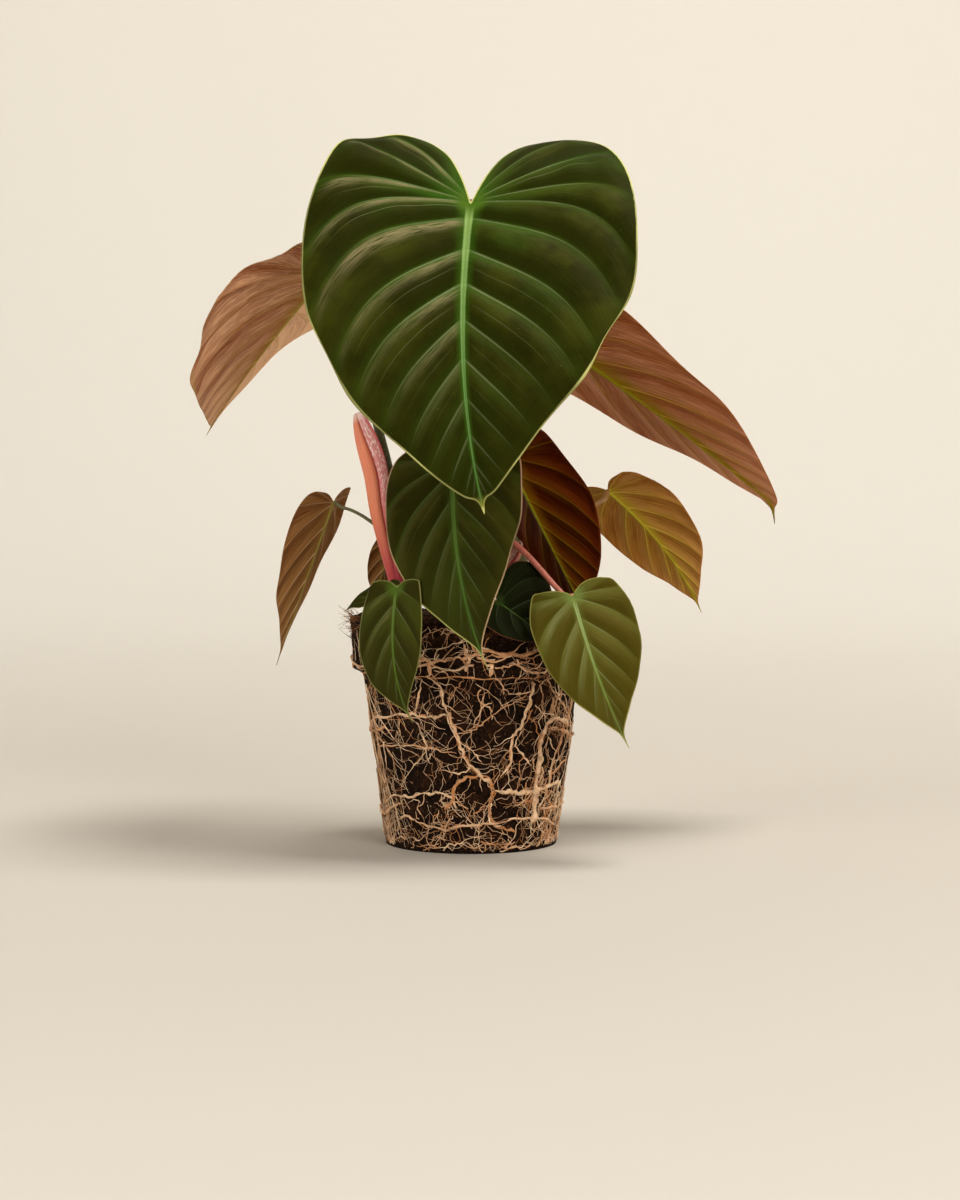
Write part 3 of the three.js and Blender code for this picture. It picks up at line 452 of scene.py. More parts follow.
class Wire:
    """A socket of a material. Expressions on values add Math nodes; colours mix by a value."""

    def __init__(self, tree, socket=None):
        self.tree = tree
        self.socket = socket

    def node(self, kind, settings, inputs, output=0):
        """Adds one node: its settings first, then the values or links of its sockets."""
        made = self.tree.nodes.new(kind)
        for name, value in settings.items():
            setattr(made, name, value)
        for name, value in inputs.items():
            if isinstance(value, Wire):
                self.tree.links.new(value.socket, made.inputs[name])
            else:
                made.inputs[name].default_value = value
        return Wire(self.tree, made.outputs[output])

    def math(self, operation, *values):
        return self.node("ShaderNodeMath", {"operation": operation}, dict(enumerate(values)))

    def __add__(self, other):
        return self.math("ADD", self, other)

    __radd__ = __add__

    def __sub__(self, other):
        return self.math("SUBTRACT", self, other)

    def __rsub__(self, other):
        return self.math("SUBTRACT", other, self)

    def __mul__(self, other):
        return self.math("MULTIPLY", self, other)

    __rmul__ = __mul__

    def __truediv__(self, other):
        return self.math("DIVIDE", self, other)

    def __rtruediv__(self, other):
        return self.math("DIVIDE", other, self)

    def __pow__(self, other):
        return self.math("POWER", self, other)

    def __abs__(self):
        return self.math("ABSOLUTE", self)

    def attribute(self, name, output="Vector"):
        return self.node("ShaderNodeAttribute", {"attribute_name": name}, {}, output)

    def parts(self):
        """The three values of a vector."""
        split = self.node("ShaderNodeSeparateXYZ", {}, {"Vector": self}).socket.node
        return [Wire(self.tree, socket) for socket in split.outputs]

    def vector(self, x, y, z):
        return self.node("ShaderNodeCombineXYZ", {}, {"X": x, "Y": y, "Z": z})

    def position(self):
        """The place on the object, in metres."""
        return self.node("ShaderNodeTexCoord", {}, {}, "Object")

    def grain(self, place, scale, detail=3, roughness=0.6):
        """Soft noise from 0 to 1."""
        inputs = {"Vector": place, "Scale": scale, "Detail": detail, "Roughness": roughness}
        return self.node("ShaderNodeTexNoise", {}, inputs)

    def cells(self, place, scale):
        """Distance from the nearest of scattered points."""
        return self.node("ShaderNodeTexVoronoi", {}, {"Vector": place, "Scale": scale}, "Distance")

    def draw(self, seed):
        """A fixed random value from 0 to 1 for each whole number."""
        settings = {"noise_dimensions": "1D"}
        return self.node("ShaderNodeTexWhiteNoise", settings, {"W": self + seed}, "Value")

    def along_z(self, share):
        """A place with its height made smaller, which draws a noise out along Z."""
        settings = {"operation": "MULTIPLY"}
        return self.node("ShaderNodeVectorMath", settings, {0: self, 1: (1, 1, share)})

    def smooth(self, low, high):
        """0 at low and 1 at high, with soft ends."""
        inputs = {"Value": self, "From Min": low, "From Max": high}
        return self.node("ShaderNodeMapRange", {"interpolation_type": "SMOOTHSTEP"}, inputs)

    def mix(self, low, high):
        """The colour low where this value is 0 and high where it is 1."""
        inputs = {0: self, 6: low, 7: high}
        return self.node("ShaderNodeMix", {"data_type": "RGBA"}, inputs, 2)

    def bump(self, distance, strength=1):
        inputs = {"Height": self, "Distance": distance, "Strength": strength}
        return self.node("ShaderNodeBump", {}, inputs)


def new_finish(name):
    """An empty material and a wire to build its nodes from."""
    material = bpy.data.materials.new(name)
    material.use_nodes = True
    material.node_tree.nodes.clear()
    return material, Wire(material.node_tree)


def coat(start, **sockets):
    """Ends a material in a Principled shader with these sockets, spaces written as _."""
    inputs = {name.replace("_", " "): value for name, value in sockets.items()}
    shader = start.node("ShaderNodeBsdfPrincipled", {}, inputs, "BSDF")
    output = start.tree.nodes.new("ShaderNodeOutputMaterial")
    start.tree.links.new(shader.socket, output.inputs["Surface"])


def layered(colour, *layers):
    """Lays colours over a colour one after another, each by its own amount."""
    for amount, over in layers:
        colour = amount.mix(colour, over)
    return colour


def make_piece(name, points, faces, material, attributes=()):
    """A smooth mesh object in metres from points in millimetres, linked to the scene."""
    mesh = bpy.data.meshes.new(name)
    mesh.from_pydata((np.asarray(points) * MM).tolist(), [], faces)
    for key, kind, domain, values in attributes:
        layer = mesh.attributes.new(key, kind, domain)
        field = "value" if kind == "FLOAT" else "vector"
        layer.data.foreach_set(field, np.asarray(values, np.float32).ravel())
    mesh.shade_smooth()
    mesh.materials.append(material)
    mesh.validate()
    piece = bpy.data.objects.new(name, mesh)
    bpy.context.scene.collection.objects.link(piece)
    return piece


def grid_faces(ids):
    """The quads of a grid of points, given as rows of ids."""
    return np.stack([ids[:-1, :-1], ids[:-1, 1:], ids[1:, 1:], ids[1:, :-1]], -1).reshape(-1, 4)


def tube_faces(ids):
    """The quads between closed rings of points, rows of ids, and a face at both ends."""
    around = grid_faces(np.column_stack([ids, ids[:, 0]]))
    return [*around.tolist(), ids[0, ::-1].tolist(), ids[-1].tolist()]


def settle(piece, node):
    """Fixes a finished piece to the plant's body and hides the solid it replaces."""
    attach(piece, "root")
    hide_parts(node)


def turned(vector, axis, angle):
    """A vector turned about a unit axis."""
    return (vector * math.cos(angle) + np.cross(axis, vector) * math.sin(angle)
            + axis * np.dot(axis, vector) * (1 - math.cos(angle)))


class Midrib:
    """A blade's midrib in space: places and directions from the base to the tip."""

    def __init__(self, leaf):
        self.leaf = leaf
        heading, pitch, roll = (math.radians(leaf[key]) for key in ("heading", "pitch", "roll"))
        compass = np.array([math.cos(heading), math.sin(heading), 0])
        up = np.array([0, 0, 1.0])
        along = compass * math.cos(pitch) - up * math.sin(pitch)
        face = compass * math.sin(pitch) + up * math.cos(pitch)
        side = np.cross(along, face)
        face, side = turned(face, along, roll), turned(side, along, roll)
        droop, sway, twist = (math.radians(leaf[key]) for key in ("droop", "sway", "twist"))
        stations = [(np.array(leaf["base"], float), along, face, side)]
        for i in range(MIDRIB_STEPS):
            place = stations[-1][0]
            # The bend grows from 0.4 of its mean at the base to 1.6 at the tip
            share = (0.4 + 1.2 * (i + 0.5) / MIDRIB_STEPS) / MIDRIB_STEPS
            along, face = turned(along, side, -droop * share), turned(face, side, -droop * share)
            along, side = turned(along, face, sway * share), turned(side, face, sway * share)
            step = twist / MIDRIB_STEPS
            face, side = turned(face, along, step), turned(side, along, step)
            if i > HOOK_START * MIDRIB_STEPS:
                # A hooked drip tip turns down towards the ground
                along = along - up * leaf.get("hook", 0)
                along /= np.linalg.norm(along)
                face = face - along * np.dot(face, along)
                face /= np.linalg.norm(face)
                side = np.cross(along, face)
            place = place + along * leaf["length"] / MIDRIB_STEPS
            stations.append((place, along, face, side))
        self.place, self.along, self.face, self.side = (np.array(rows) for rows in zip(*stations))

    def at(self, share):
        """Place, face and side at shares of the length; below 0 the lobes bend round the base."""
        position = np.clip(share, 0, 1) * MIDRIB_STEPS
        index = np.minimum(position.astype(int), MIDRIB_STEPS - 1)
        part = (position - index)[..., None]
        place, face, side = (
            rows[index] * (1 - part) + rows[index + 1] * part
            for rows in (self.place, self.face, self.side))
        behind = np.maximum(-share, 0)[..., None]
        bend = math.radians(self.leaf["back"]) * behind / LOBE_BEND_REACH
        along, first = self.along[0], self.face[0]
        turned_along = along * np.cos(bend / 2) + first * np.sin(bend / 2)
        place = place - turned_along * behind * self.leaf["length"]
        lobe_face = first * np.cos(bend) - along * np.sin(bend)
        face = np.where(behind > 0, lobe_face, face)
        return place, face, side


def outline(leaf, lobe, t):
    """Half outline of a blade in half widths and lengths: sinus, lobe, belly, drip tip."""
    belly, tip, shoulder = leaf["belly"], leaf["tip"], leaf["shoulder"]
    rest = 1 - belly - tip
    points = np.array([
        (0, 0), (0.09, -0.42 * lobe), (0.21, -0.8 * lobe), (0.38, -lobe), (0.62, -0.97 * lobe),
        (0.86 + 0.06 * shoulder, -0.6 * lobe + 0.1 * belly), (1, belly),
        (0.93, belly + 0.33 * rest), (0.7, belly + 0.62 * rest), (0.36, belly + 0.85 * rest),
        (TIP_SHOULDER, 1 - tip), (TIP_NECK_WIDTH, 1 - TIP_NECK * tip), (0, 1)])
    curve = smooth_line(points, t * (len(points) - 1))
    slow, fast = NICK_RATES
    phase = leaf["length"] + 9 * lobe
    nicks = NICK * (np.sin(slow * t + phase) + 0.7 * np.sin(fast * t + 3 * phase))
    return curve[..., 0] * (1 + nicks), curve[..., 1]


def vein_grid(leaf, side, rows, q):
    """Lines across half a blade that follow the side veins: across in mm, share of the length.

    Each row runs from the midrib at q 0 to the margin at q 1; row 0 is the edge of the sinus.
    """
    half = int(side < 0)
    lobe, width = leaf["lobe"][half], leaf["width"][half]
    rows, q = rows[:, None], q[None, :]
    t = SINUS_EDGE + (1 - SINUS_EDGE) * rows
    out_x, out_y = outline(leaf, lobe, t)
    wave = leaf.get("wave", (0, 0, 0))
    beyond = t - wave[2]
    out_x = out_x * (1 + wave[half] * np.sin(WAVE_RATE * beyond) * hump(beyond, WAVE_SPREAD))
    middle_y = outline(leaf, sum(leaf["lobe"]) / 2, t)[1]
    origin = np.maximum((middle_y - LATERAL_START) / (1 - LATERAL_START), 0) ** LATERAL_POWER
    near_sinus = np.maximum(1 - rows / SINUS_REACH, 0) ** 2
    bow = smoothstep(out_y + lobe, 0, FULL_BOW)
    arch = LATERAL_ARCH * out_x ** 2 * width * bow / leaf["length"]
    lobe_x, lobe_y = outline(leaf, lobe, np.array([SINUS_EDGE]))
    edge_x, edge_y = outline(leaf, lobe, SINUS_EDGE * q)
    x = out_x * q + near_sinus * (edge_x - lobe_x * q)
    y = (origin + (out_y - origin) * q + arch * (q ** (LATERAL_ARCH_POWER + 1) - q)
         + near_sinus * (edge_y - lobe_y * q))
    return x * width, y


def blade_points(leaf, midrib, across, share, side, wave):
    """Points of the blade in space, with the fold of its halves and their curl to the margin."""
    width = leaf["width"][int(side < 0)]
    fold, curl = math.radians(leaf["fold"]), math.radians(leaf["curl"])
    angle = fold + curl * across / width
    outward = (np.sin(angle) - math.sin(fold)) * width / curl
    upward = (math.cos(fold) - np.cos(angle)) * width / curl
    place, face, sideways = midrib.at(share)
    return place + sideways * (side * outward)[..., None] + face * (upward + wave)[..., None]


def edge_distance(leaf, side, across, share):
    """Distance in the blade from its margin, in mm."""
    half = int(side < 0)
    x, y = outline(leaf, leaf["lobe"][half], np.linspace(0, 1, MARGIN_POINTS))
    x, y = x * leaf["width"][half], y * leaf["length"]
    flat = np.stack([across.ravel(), share.ravel() * leaf["length"]], 1)
    gaps = np.hypot(flat[:, :1] - x[None, :], flat[:, 1:] - y[None, :])
    return gaps.min(1).reshape(across.shape)


class Blade:
    """Gathers one blade: a grid for each half, welded along the midrib, then both faces."""

    # How far the rows of the mesh gather at the side veins
    CLUSTER = 0.6
    # The fields between the side veins rise with their width, up to WIDEST, by FIELD and a drawn
    # share of FIELD_DRAW. They have a furrow halfway and puckers, and are calmer at the tip, near
    # the margin and by the midrib.
    WIDEST = 20
    FIELD = 0.55
    FIELD_DRAW = 0.8
    FURROW = 0.12
    PUCKER = 0.14
    PUCKER_RATE = 0.32
    TIP_CALM = 0.55
    MARGIN_CALM = 0.15
    MIDRIB_CALM = 6
    # Within THIN_REACH of the margin the blade thins to THIN_EDGE of its thickness. A keel runs
    # under the midrib and a channel on top of it.
    THIN_EDGE = 0.4
    THIN_REACH = 1.5
    KEEL = 0.9
    CHANNEL = 0.35
    CHANNEL_WIDTH = 1.1

    def __init__(self, leaf, index, sizes):
        self.leaf = leaf
        self.index = index
        self.sizes = sizes
        self.midrib = Midrib(leaf)
        large = leaf["length"] > LARGE_BLADE
        self.per_lateral, self.columns = LARGE_MESH if large else SMALL_MESH

    def row_places(self):
        """Rows gathered round each side vein: their shares, and their places in side veins."""
        table = spline(np.column_stack([VEIN_NUMBERS, VEIN_ROWS]), 400)
        scale = (self.leaf["laterals"] - 1) / (VEIN_COUNT - 1)
        low, high = -scale, VEIN_NUMBERS[-1] * scale
        count = np.arange(math.floor(low) * self.per_lateral, math.ceil(high) * self.per_lateral)
        count = count / self.per_lateral
        count = count - self.CLUSTER * np.sin(2 * math.pi * count) / (2 * math.pi)
        margin = 0.25 / self.per_lateral
        inside = count[(count > low + margin) & (count < high - margin)]
        numbers = np.concatenate([[low], inside, [high]])
        return np.interp(numbers / scale, table[:, 0], table[:, 1]), numbers

    def column_places(self):
        """Columns gathered at the midrib and at the margin."""
        even = np.linspace(0, 1, self.columns + 1)
        return 0.25 * even + 0.75 * (1 - np.cos(math.pi * even)) / 2

    def half(self, side):
        """One half: its points and what its surface and its finish need to know at each."""
        leaf = self.leaf
        rows, numbers = self.row_places()
        q = self.column_places()
        across, share = vein_grid(leaf, side, rows, q)
        # Each half waves out of step with the others
        phase = 2 * math.pi * MARGIN_WAVES * rows + 2 * self.index + side
        wave = MARGIN_WAVE * across * q[None, :] * np.sin(phase)[:, None]
        ruffle = 2 * math.pi * RUFFLES * rows + 3.7 * self.index - side
        wave = wave + RUFFLE * across * q[None, :] ** 5 * np.sin(ruffle)[:, None]
        points = blade_points(leaf, self.midrib, across, share, side, wave)
        flat = np.stack([across, share * leaf["length"]], -1)
        by_number = np.gradient(flat, numbers, axis=0)
        by_q = np.gradient(flat, q, axis=1)
        area = np.abs(by_number[..., 0] * by_q[..., 1] - by_number[..., 1] * by_q[..., 0])
        spacing = area / np.maximum(np.hypot(by_q[..., 0], by_q[..., 1]), 1e-6)
        number = np.broadcast_to(numbers[:, None], across.shape) + LEFT_NUMBERS * (side < 0)
        edge = edge_distance(leaf, side, across, share)
        edge[:, -1] = 0
        edge[0, :] = 0
        return dict(points=points, across=across, share=share, edge=edge, spacing=spacing,
                    number=number)

    def relief(self, data):
        """Rise of the mid surface between the side veins, in mm."""
        number, spacing = data["number"], np.minimum(data["spacing"], self.WIDEST)
        field = rounded(np.sin(math.pi * number), 0.03) - 0.17
        furrow = rounded(np.sin(2 * math.pi * number), 0.05) - 0.22
        draw = fixed_draw(np.floor(number), self.index)
        pucker = np.sin(data["across"] * self.PUCKER_RATE + 9 * draw)
        pucker = pucker * np.sin(math.pi * number) ** 2
        shape = (field * (self.FIELD + self.FIELD_DRAW * draw) + self.FURROW * furrow
                 + self.PUCKER * pucker)
        height = self.sizes.quilting * spacing * shape * (1 - self.TIP_CALM * data["share"])
        fade = self.leaf["width"][0] * self.MARGIN_CALM
        return (height * smoothstep(data["edge"], 0, fade)
                * smoothstep(data["across"], 0, self.MIDRIB_CALM))

    def gather(self):
        """Both halves as one list of grid points, their quads and the edges of the margin."""
        halves = [self.half(1), self.half(-1)]
        data = {}
        for key, values in halves[0].items():
            pair = (values, halves[1][key])
            data[key] = np.concatenate([part.reshape(-1, *part.shape[2:]) for part in pair])
        ids = np.arange(halves[0]["across"].size).reshape(halves[0]["across"].shape)
        quads = []
        rims = []
        for grid, way in ((ids, 1), (ids + ids.size, -1)):
            quads.append(grid_faces(grid)[:, ::way])
            border = np.concatenate([grid[0, :], grid[1:, -1]])[::way]
            rims.append(np.column_stack([border[:-1], border[1:]]))
        return data, np.concatenate(quads), np.concatenate(rims)

    def faces_apart(self, points, normals, data, place_of):
        """Points of both faces: relief, thickness, keel and channel off the mid surface."""
        def welded(values):
            field = np.zeros(len(points))
            field[place_of] = values
            return field[:, None]

        middle = points + normals * welded(self.relief(data))
        inside = smoothstep(data["edge"], 0, self.THIN_REACH)
        thickness = self.THIN_EDGE + (1 - self.THIN_EDGE) * inside
        half = welded(self.sizes.blade_thickness / MM / 2 * thickness)
        taper = 1 - 0.85 * data["share"]
        keel = welded(self.KEEL * taper * hump(data["across"], 0.4 + 1.2 * taper))
        channel = welded(self.CHANNEL * taper * hump(data["across"], self.CHANNEL_WIDTH))
        return middle + normals * (half - channel), middle - normals * (half + keel)

    def build(self):
        """Points, faces and the two corner layers of the finished blade."""
        data, quads, rims = self.gather()
        keys = np.round(data["points"] / WELD).astype(np.int64)
        _, first, place_of = np.unique(keys, axis=0, return_index=True, return_inverse=True)
        place_of = place_of.ravel()
        points = data["points"][first]
        corners = points[place_of[quads]]
        square = np.cross(corners[:, 2] - corners[:, 0], corners[:, 3] - corners[:, 1])
        normals = np.zeros_like(points)
        for corner in range(4):
            np.add.at(normals, place_of[quads[:, corner]], square)
        top, under = self.faces_apart(points, unit(normals), data, place_of)
        count = len(points)
        faces = []
        corner_ids = []
        uppers = []

        def add_face(grid_ids, vertex_ids, upper):
            kept = [i for i in range(len(vertex_ids)) if vertex_ids[i] != vertex_ids[i - 1]]
            if len(kept) > 2:
                faces.append([vertex_ids[i] for i in kept])
                corner_ids.extend(grid_ids[i] for i in kept)
                uppers.extend(upper[i] for i in kept)

        for grid_ids, vertex_ids in zip(quads.tolist(), place_of[quads].tolist()):
            add_face(grid_ids, vertex_ids, (1, 1, 1, 1))
            lower = [vertex + count for vertex in vertex_ids]
            add_face(grid_ids[::-1], lower[::-1], (0, 0, 0, 0))
        for a, b in rims.tolist():
            near, far = int(place_of[a]), int(place_of[b])
            if near != far:
                add_face([b, a, a, b], [far, near, near + count, far + count], (1, 1, 0, 0))
        corner_ids = np.array(corner_ids)
        lamina = [data[key][corner_ids] for key in ("number", "across", "spacing")]
        place = [data["edge"][corner_ids], data["share"][corner_ids], uppers]
        layers = (
            ("lamina", "FLOAT_VECTOR", "CORNER", np.column_stack(lamina)),
            ("place", "FLOAT_VECTOR", "CORNER", np.column_stack(place)),
        )
        return np.vstack([top, under]), faces, layers


class BladeFinish:
    """Shader values of a blade: distances from its veins and margin, and soft noises."""

    def __init__(self, start, leaf, seed):
        self.tints = {key: paint(code) for key, code in LOOKS[leaf["look"]].items()}
        self.faded = leaf.get("faded", (0, 0))
        size = leaf["length"] / LEAVES["crown"]["length"]
        scale = size ** 0.5
        number, self.across, self.spacing = start.attribute("lamina").parts()
        self.edge, self.share, self.upper = start.attribute("place").parts()
        place = start.position()
        nearest = start.math("ROUND", number)
        self.off = abs(number - nearest) * self.spacing
        self.after = start.math("FRACT", number)
        self.strength = nearest.draw(seed * 17.3) * 0.5 + 0.5
        self.inward = self.edge / (self.edge + self.across + 0.01)
        # Long streaks lie along the side veins
        self.threads = start.grain(start.vector(number * 6, self.across * 0.05, seed), 2.4, 3)
        self.streaks = start.grain(start.vector(number * 13, self.across * 0.045, seed), 2.4, 2)
        self.blotch = start.grain(place, 38, 3)
        self.patch = start.grain(place, 17, 2)
        self.fleck = start.grain(place, 900, 2)
        self.pore = start.cells(place, 420)
        # No number lies between the halves, so this is 0 or 1
        self.on_left = number.smooth(LEFT_NUMBERS - 8, LEFT_NUMBERS - 4)
        line_width = (self.inward * 0.34 + 0.24) * scale
        core = (self.off / line_width).smooth(1.5, 0.2)
        self.core = core * self.strength * self.inward.smooth(0, 0.8)
        # A thinner vein runs halfway between two side veins, in some fields
        halfway = abs(self.after - 0.5) * self.spacing
        thin = (halfway / (line_width * 0.7)).smooth(1.2, 0.2) * self.inward.smooth(0.05, 0.4)
        thin = thin * self.spacing.smooth(5, 12)
        thin = thin * (number - self.after).draw(seed * 5.1).smooth(0.1, 0.9)
        self.thin = thin * self.inward.smooth(1, 0.75)
        self.ribward = self.across / ((1.8 * (1 - self.share) ** 1.3 + 0.3) * size)
        upward = self.share * leaf["length"]
        self.hub = start.math("SQRT", self.across * self.across + upward ** 2) / scale
        margin = (self.edge / scale).smooth(1, 0.4)
        self.margin = margin * (self.patch.smooth(0.4, 0.6) * 0.6 + 0.4)

    def upper_face(self):
        """Dark velvet, greener along its veins, with painted light and shade in its fields.

        A painted highlight lies just past each side vein, where the velvet catches light, and
        painted shade just before the next.
        """
        tints, off, after, share, hub = self.tints, self.off, self.after, self.share, self.hub
        cloud = self.blotch.smooth(0.32, 0.68) * 0.8 + self.threads.smooth(0.35, 0.7) * 0.2
        band = off.smooth(5.5, 0.4) * (self.threads * 0.8 + 0.2) * (self.inward * 0.6 + 0.35)
        band = band * self.strength + off.smooth(7, 0.5) * hub.smooth(90, 10) * 0.45
        # The half left of the midrib gets less of the green band, part of painting it as the half
        # in shade
        band = band * (1 - self.on_left * 0.3) + self.patch.smooth(0.5, 0.75) * 0.3
        # Painted shade on the lower side of each field, just before the next side vein
        painted_field_shade = after.smooth(0.4, 0.8) * after.smooth(1, 0.92) * self.spacing.smooth(3, 9)
        # Painted highlight just past each side vein, where the velvet catches light: in streaks and
        # patches, fading towards the tip and the margin, strongest near the hub
        sheen = after.smooth(0.01, 0.08) * after.smooth(0.42, 0.1) * self.spacing.smooth(2, 8)
        sheen = sheen * (self.patch.smooth(0.35, 0.6) * 0.6 + 0.4) * self.streaks.smooth(0.3, 0.6)
        sheen = sheen * share.smooth(0.95, 0.25) * self.edge.smooth(1, 9)
        # The painted highlight is strong on the half right of the midrib and faint on the left
        # half, which is painted as the half in shade
        sheen = sheen * (hub.smooth(150, 20) * 0.7 + 0.3) * (1.2 - self.on_left * 1.1)
        vein = self.core * (self.streaks * 0.5 + 0.25) * (1.1 - share * 0.85)
        pores = self.pore.smooth(0.1, 0.05) * self.fleck.smooth(0.62, 0.7)
        stripe = share.smooth(0, 0.75).mix(tints["midrib"], tints["midrib_tip"])
        stripe = (self.ribward.smooth(0.55, 0) * 0.35).mix(stripe, tints["band"])
        low = share.smooth(0.2, 0.7) * (1 - self.on_left * 0.8)
        rim = low.mix(tints["margin"], tints.get("margin_low", tints["margin"]))
        return layered(
            tints["deep"],
            (cloud, tints["upper"]),
            (band, tints["band"]),
            # Painted shade on the lower side of each field, strongest near the hub
            (painted_field_shade * hub.smooth(140, 40) * 0.85, tints["deep"]),
            (share.smooth(0.3, 0.9) * 0.6, tints["deep"]),
            # The painted highlight
            (sheen, tints["sheen"]),
            (self.thin * share.smooth(0.9, 0.1) * 0.22, tints["vein"]),
            (vein, tints["vein"]),
            (self.ribward.smooth(4, 0.9) * 0.65, tints["band"]),
            (self.ribward.smooth(1.25, 0.7) * 0.9, stripe),
            (hub.smooth(11, 2), tints["hub"]),
            (pores * 0.5, tints["vein"]),
            (self.margin * 0.8, rim),
            (share.smooth(0.94, 0.975) * 0.6, tints["rib_under"]),
            (share.smooth(0.97, 0.99), tints["margin"]))

    def underside(self):
        """The coloured underside, with a glow along its golden veins and pale streaks between.

        Each field also has a painted highlight just before the next side vein.
        """
        tints, off, after, share = self.tints, self.off, self.after, self.share
        faded_right, faded_left = self.faded
        faded = self.on_left * (faded_left - faded_right) + faded_right
        warm = off.smooth(6, 0.5) * 0.45 + self.ribward.smooth(7, 1)
        warm = warm * self.inward.smooth(0.05, 0.7) * (1 - faded)
        cloud = self.threads.smooth(0.3, 0.7) * 0.6 + self.blotch.smooth(0.3, 0.7) * 0.4
        # A painted highlight on each field just before the next side vein, where the hollow
        # underside turns to the light
        pale = after.smooth(0.4, 0.8) * after.smooth(0.99, 0.9) * self.spacing.smooth(2, 7)
        pale = (pale * 0.5 + self.streaks.smooth(0.42, 0.68) * 0.6) * (self.patch * 0.9 + 0.3)
        faded = faded * (self.threads * 0.5 + 0.6) + share.smooth(0.4, 1) * self.streaks * 0.9
        return layered(
            tints["under"],
            (cloud, tints["shadow"]),
            # Pale streaks, the faded parts and the painted highlight of each field
            (pale + faded, tints["streak"]),
            (warm * 0.75, tints["glow"]),
            (self.thin * 0.5, tints["line"]),
            (self.core * 0.55 + off.smooth(0.7, 0.15) * 0.25, tints["line"]),
            (self.ribward.smooth(1.1, 0.6), tints["rib_under"]),
            (self.margin * 0.75, tints["margin"]),
            (share.smooth(0.92, 0.98) * 0.9, tints["rib_under"]))

    def height(self):
        """Fine relief: threads of velvet, sunken veins above and raised ones below."""
        height = self.fleck * 0.06 + self.streaks * 0.22 + self.threads * 0.25
        height = height - self.core * 0.15 - self.thin * 0.08
        return height + (1 - self.upper) * self.off.smooth(0.8, 0.1) * 0.45


def blade_finish(name, leaf, seed, colours):
    """Velvety upper face with pale side veins, and the coloured underside with golden ones."""
    material, start = new_finish(name)
    blade = BladeFinish(start, leaf, seed)
    colour = blade.upper.smooth(0.3, 0.7).mix(blade.underside(), blade.upper_face())
    roughness = 0.46 + blade.fleck * 0.12 + blade.threads * 0.12
    coat(start, Base_Color=colour, Roughness=roughness, Normal=blade.height().bump(0.0008),
         Specular_IOR_Level=0.03, Specular_Tint=seen(colours.velvet))
    return material


def carried_frames(path, across=None):
    """Directions along and across a path, carried along it without spin."""
    along = unit(np.gradient(path, axis=0))
    if across is None:
        helper = np.array([1.0, 0, 0]) if abs(along[0, 2]) > 0.8 else np.array([0, 0, 1.0])
        across = np.cross(helper, along[0])
    firsts = []
    for direction in along:
        across = across - direction * np.dot(across, direction)
        across = across / max(np.linalg.norm(across), 1e-9)
        firsts.append(across)
    firsts = np.array(firsts)
    return along, firsts, np.cross(along, firsts)


class Tubes:
    """Gathers round tubes along paths into one mesh, with a value for each point of it."""

    def __init__(self, sides):
        self.sides = sides
        self.points = []
        self.faces = []
        self.values = []
        self.count = 0

    def add(self, path, radii, value):
        """Adds one tube, with one radius and value or one for each point of its path."""
        _, across, up = carried_frames(path)
        angle = np.arange(self.sides) / self.sides * 2 * math.pi
        radii = np.broadcast_to(radii, (len(path),))[:, None, None]
        ring = (across[:, None, :] * np.cos(angle)[None, :, None]
                + up[:, None, :] * np.sin(angle)[None, :, None])
        self.points.append((path[:, None, :] + ring * radii).reshape(-1, 3))
        values = np.broadcast_to(value, (len(path),))
        self.values.append(np.repeat(values, self.sides))
        ids = self.count + np.arange(len(path) * self.sides).reshape(len(path), self.sides)
        self.faces.extend(tube_faces(ids))
        self.count += ids.size

    def piece(self, name, material, layer):
        layers = [(layer, "FLOAT", "POINT", np.concatenate(self.values))]
        return make_piece(name, np.vstack(self.points), self.faces, material, layers)


def stem_path(stem):
    """Centre line of a stem: upright in the soil, then leaning to its top."""
    (x, y), (top_x, top_y, top_z) = stem["foot"], stem["top"]
    path = [(x, y, STEM_FOOT_HEIGHT), (x, y, STEM_BEND_HEIGHT)]
    for share in STEM_LEAN:
        lean = share * share
        path.append((x + (top_x - x) * lean, y + (top_y - y) * lean,
                     STEM_BEND_HEIGHT + (top_z - STEM_BEND_HEIGHT) * share))
    return np.array(path, float)


def stalk_path(leaf, midrib):
    """Centre line of a stalk from inside its stem to the underside of its blade."""
    path = stem_path(STEMS[leaf["stem"]])
    start = np.array([np.interp(leaf["height"], path[:, 2], path[:, axis]) for axis in range(3)])
    face = midrib.face[0]
    base = np.array(leaf["base"], float)
    knee = base - face * (MIDRIB_THICKNESS + KNEE_GAP + KNEE_LENGTH)
    curve = bezier(start, start + leaf["lift"], knee + leaf["hang"], knee, STALK_POINTS)
    rise = np.linspace(0, 1, KNEE_POINTS + 1)[1:, None]
    joint = knee + (base - face * STALK_SUNK - knee) * rise
    return np.vstack([curve, joint])


def plug_radius(angle, height):
    """Radius of the soil plug, with the soft lumps of moulded soil."""
    lump = np.sin(3 * angle + 0.05 * height) + 0.7 * np.sin(5 * angle - 0.07 * height)
    lump = SOIL_LUMP * lump * (np.asarray(height) > 0)
    wall = PLUG_BASE_RADIUS + (PLUG_STEP_RADIUS - PLUG_BASE_RADIUS) * height / PLUG_STEP_HEIGHT
    share = (height - PLUG_STEP_HEIGHT) / (PLUG_HEIGHT - PLUG_STEP_HEIGHT)
    rim = RIM_FOOT_RADIUS + (RIM_TOP_RADIUS - RIM_FOOT_RADIUS) * share
    rise = np.clip((height - PLUG_STEP_HEIGHT) / RIM_RISE, 0, 1)
    wall = np.minimum(wall, PLUG_STEP_RADIUS)
    return wall + (rim - wall) * rise + lump


def on_plug(angle, height, outward):
    """Points at angles and heights of the plug, and so far outside its surface."""
    radius = plug_radius(angle, height) + outward
    return np.stack([np.cos(angle) * radius, np.sin(angle) * radius, height], -1)


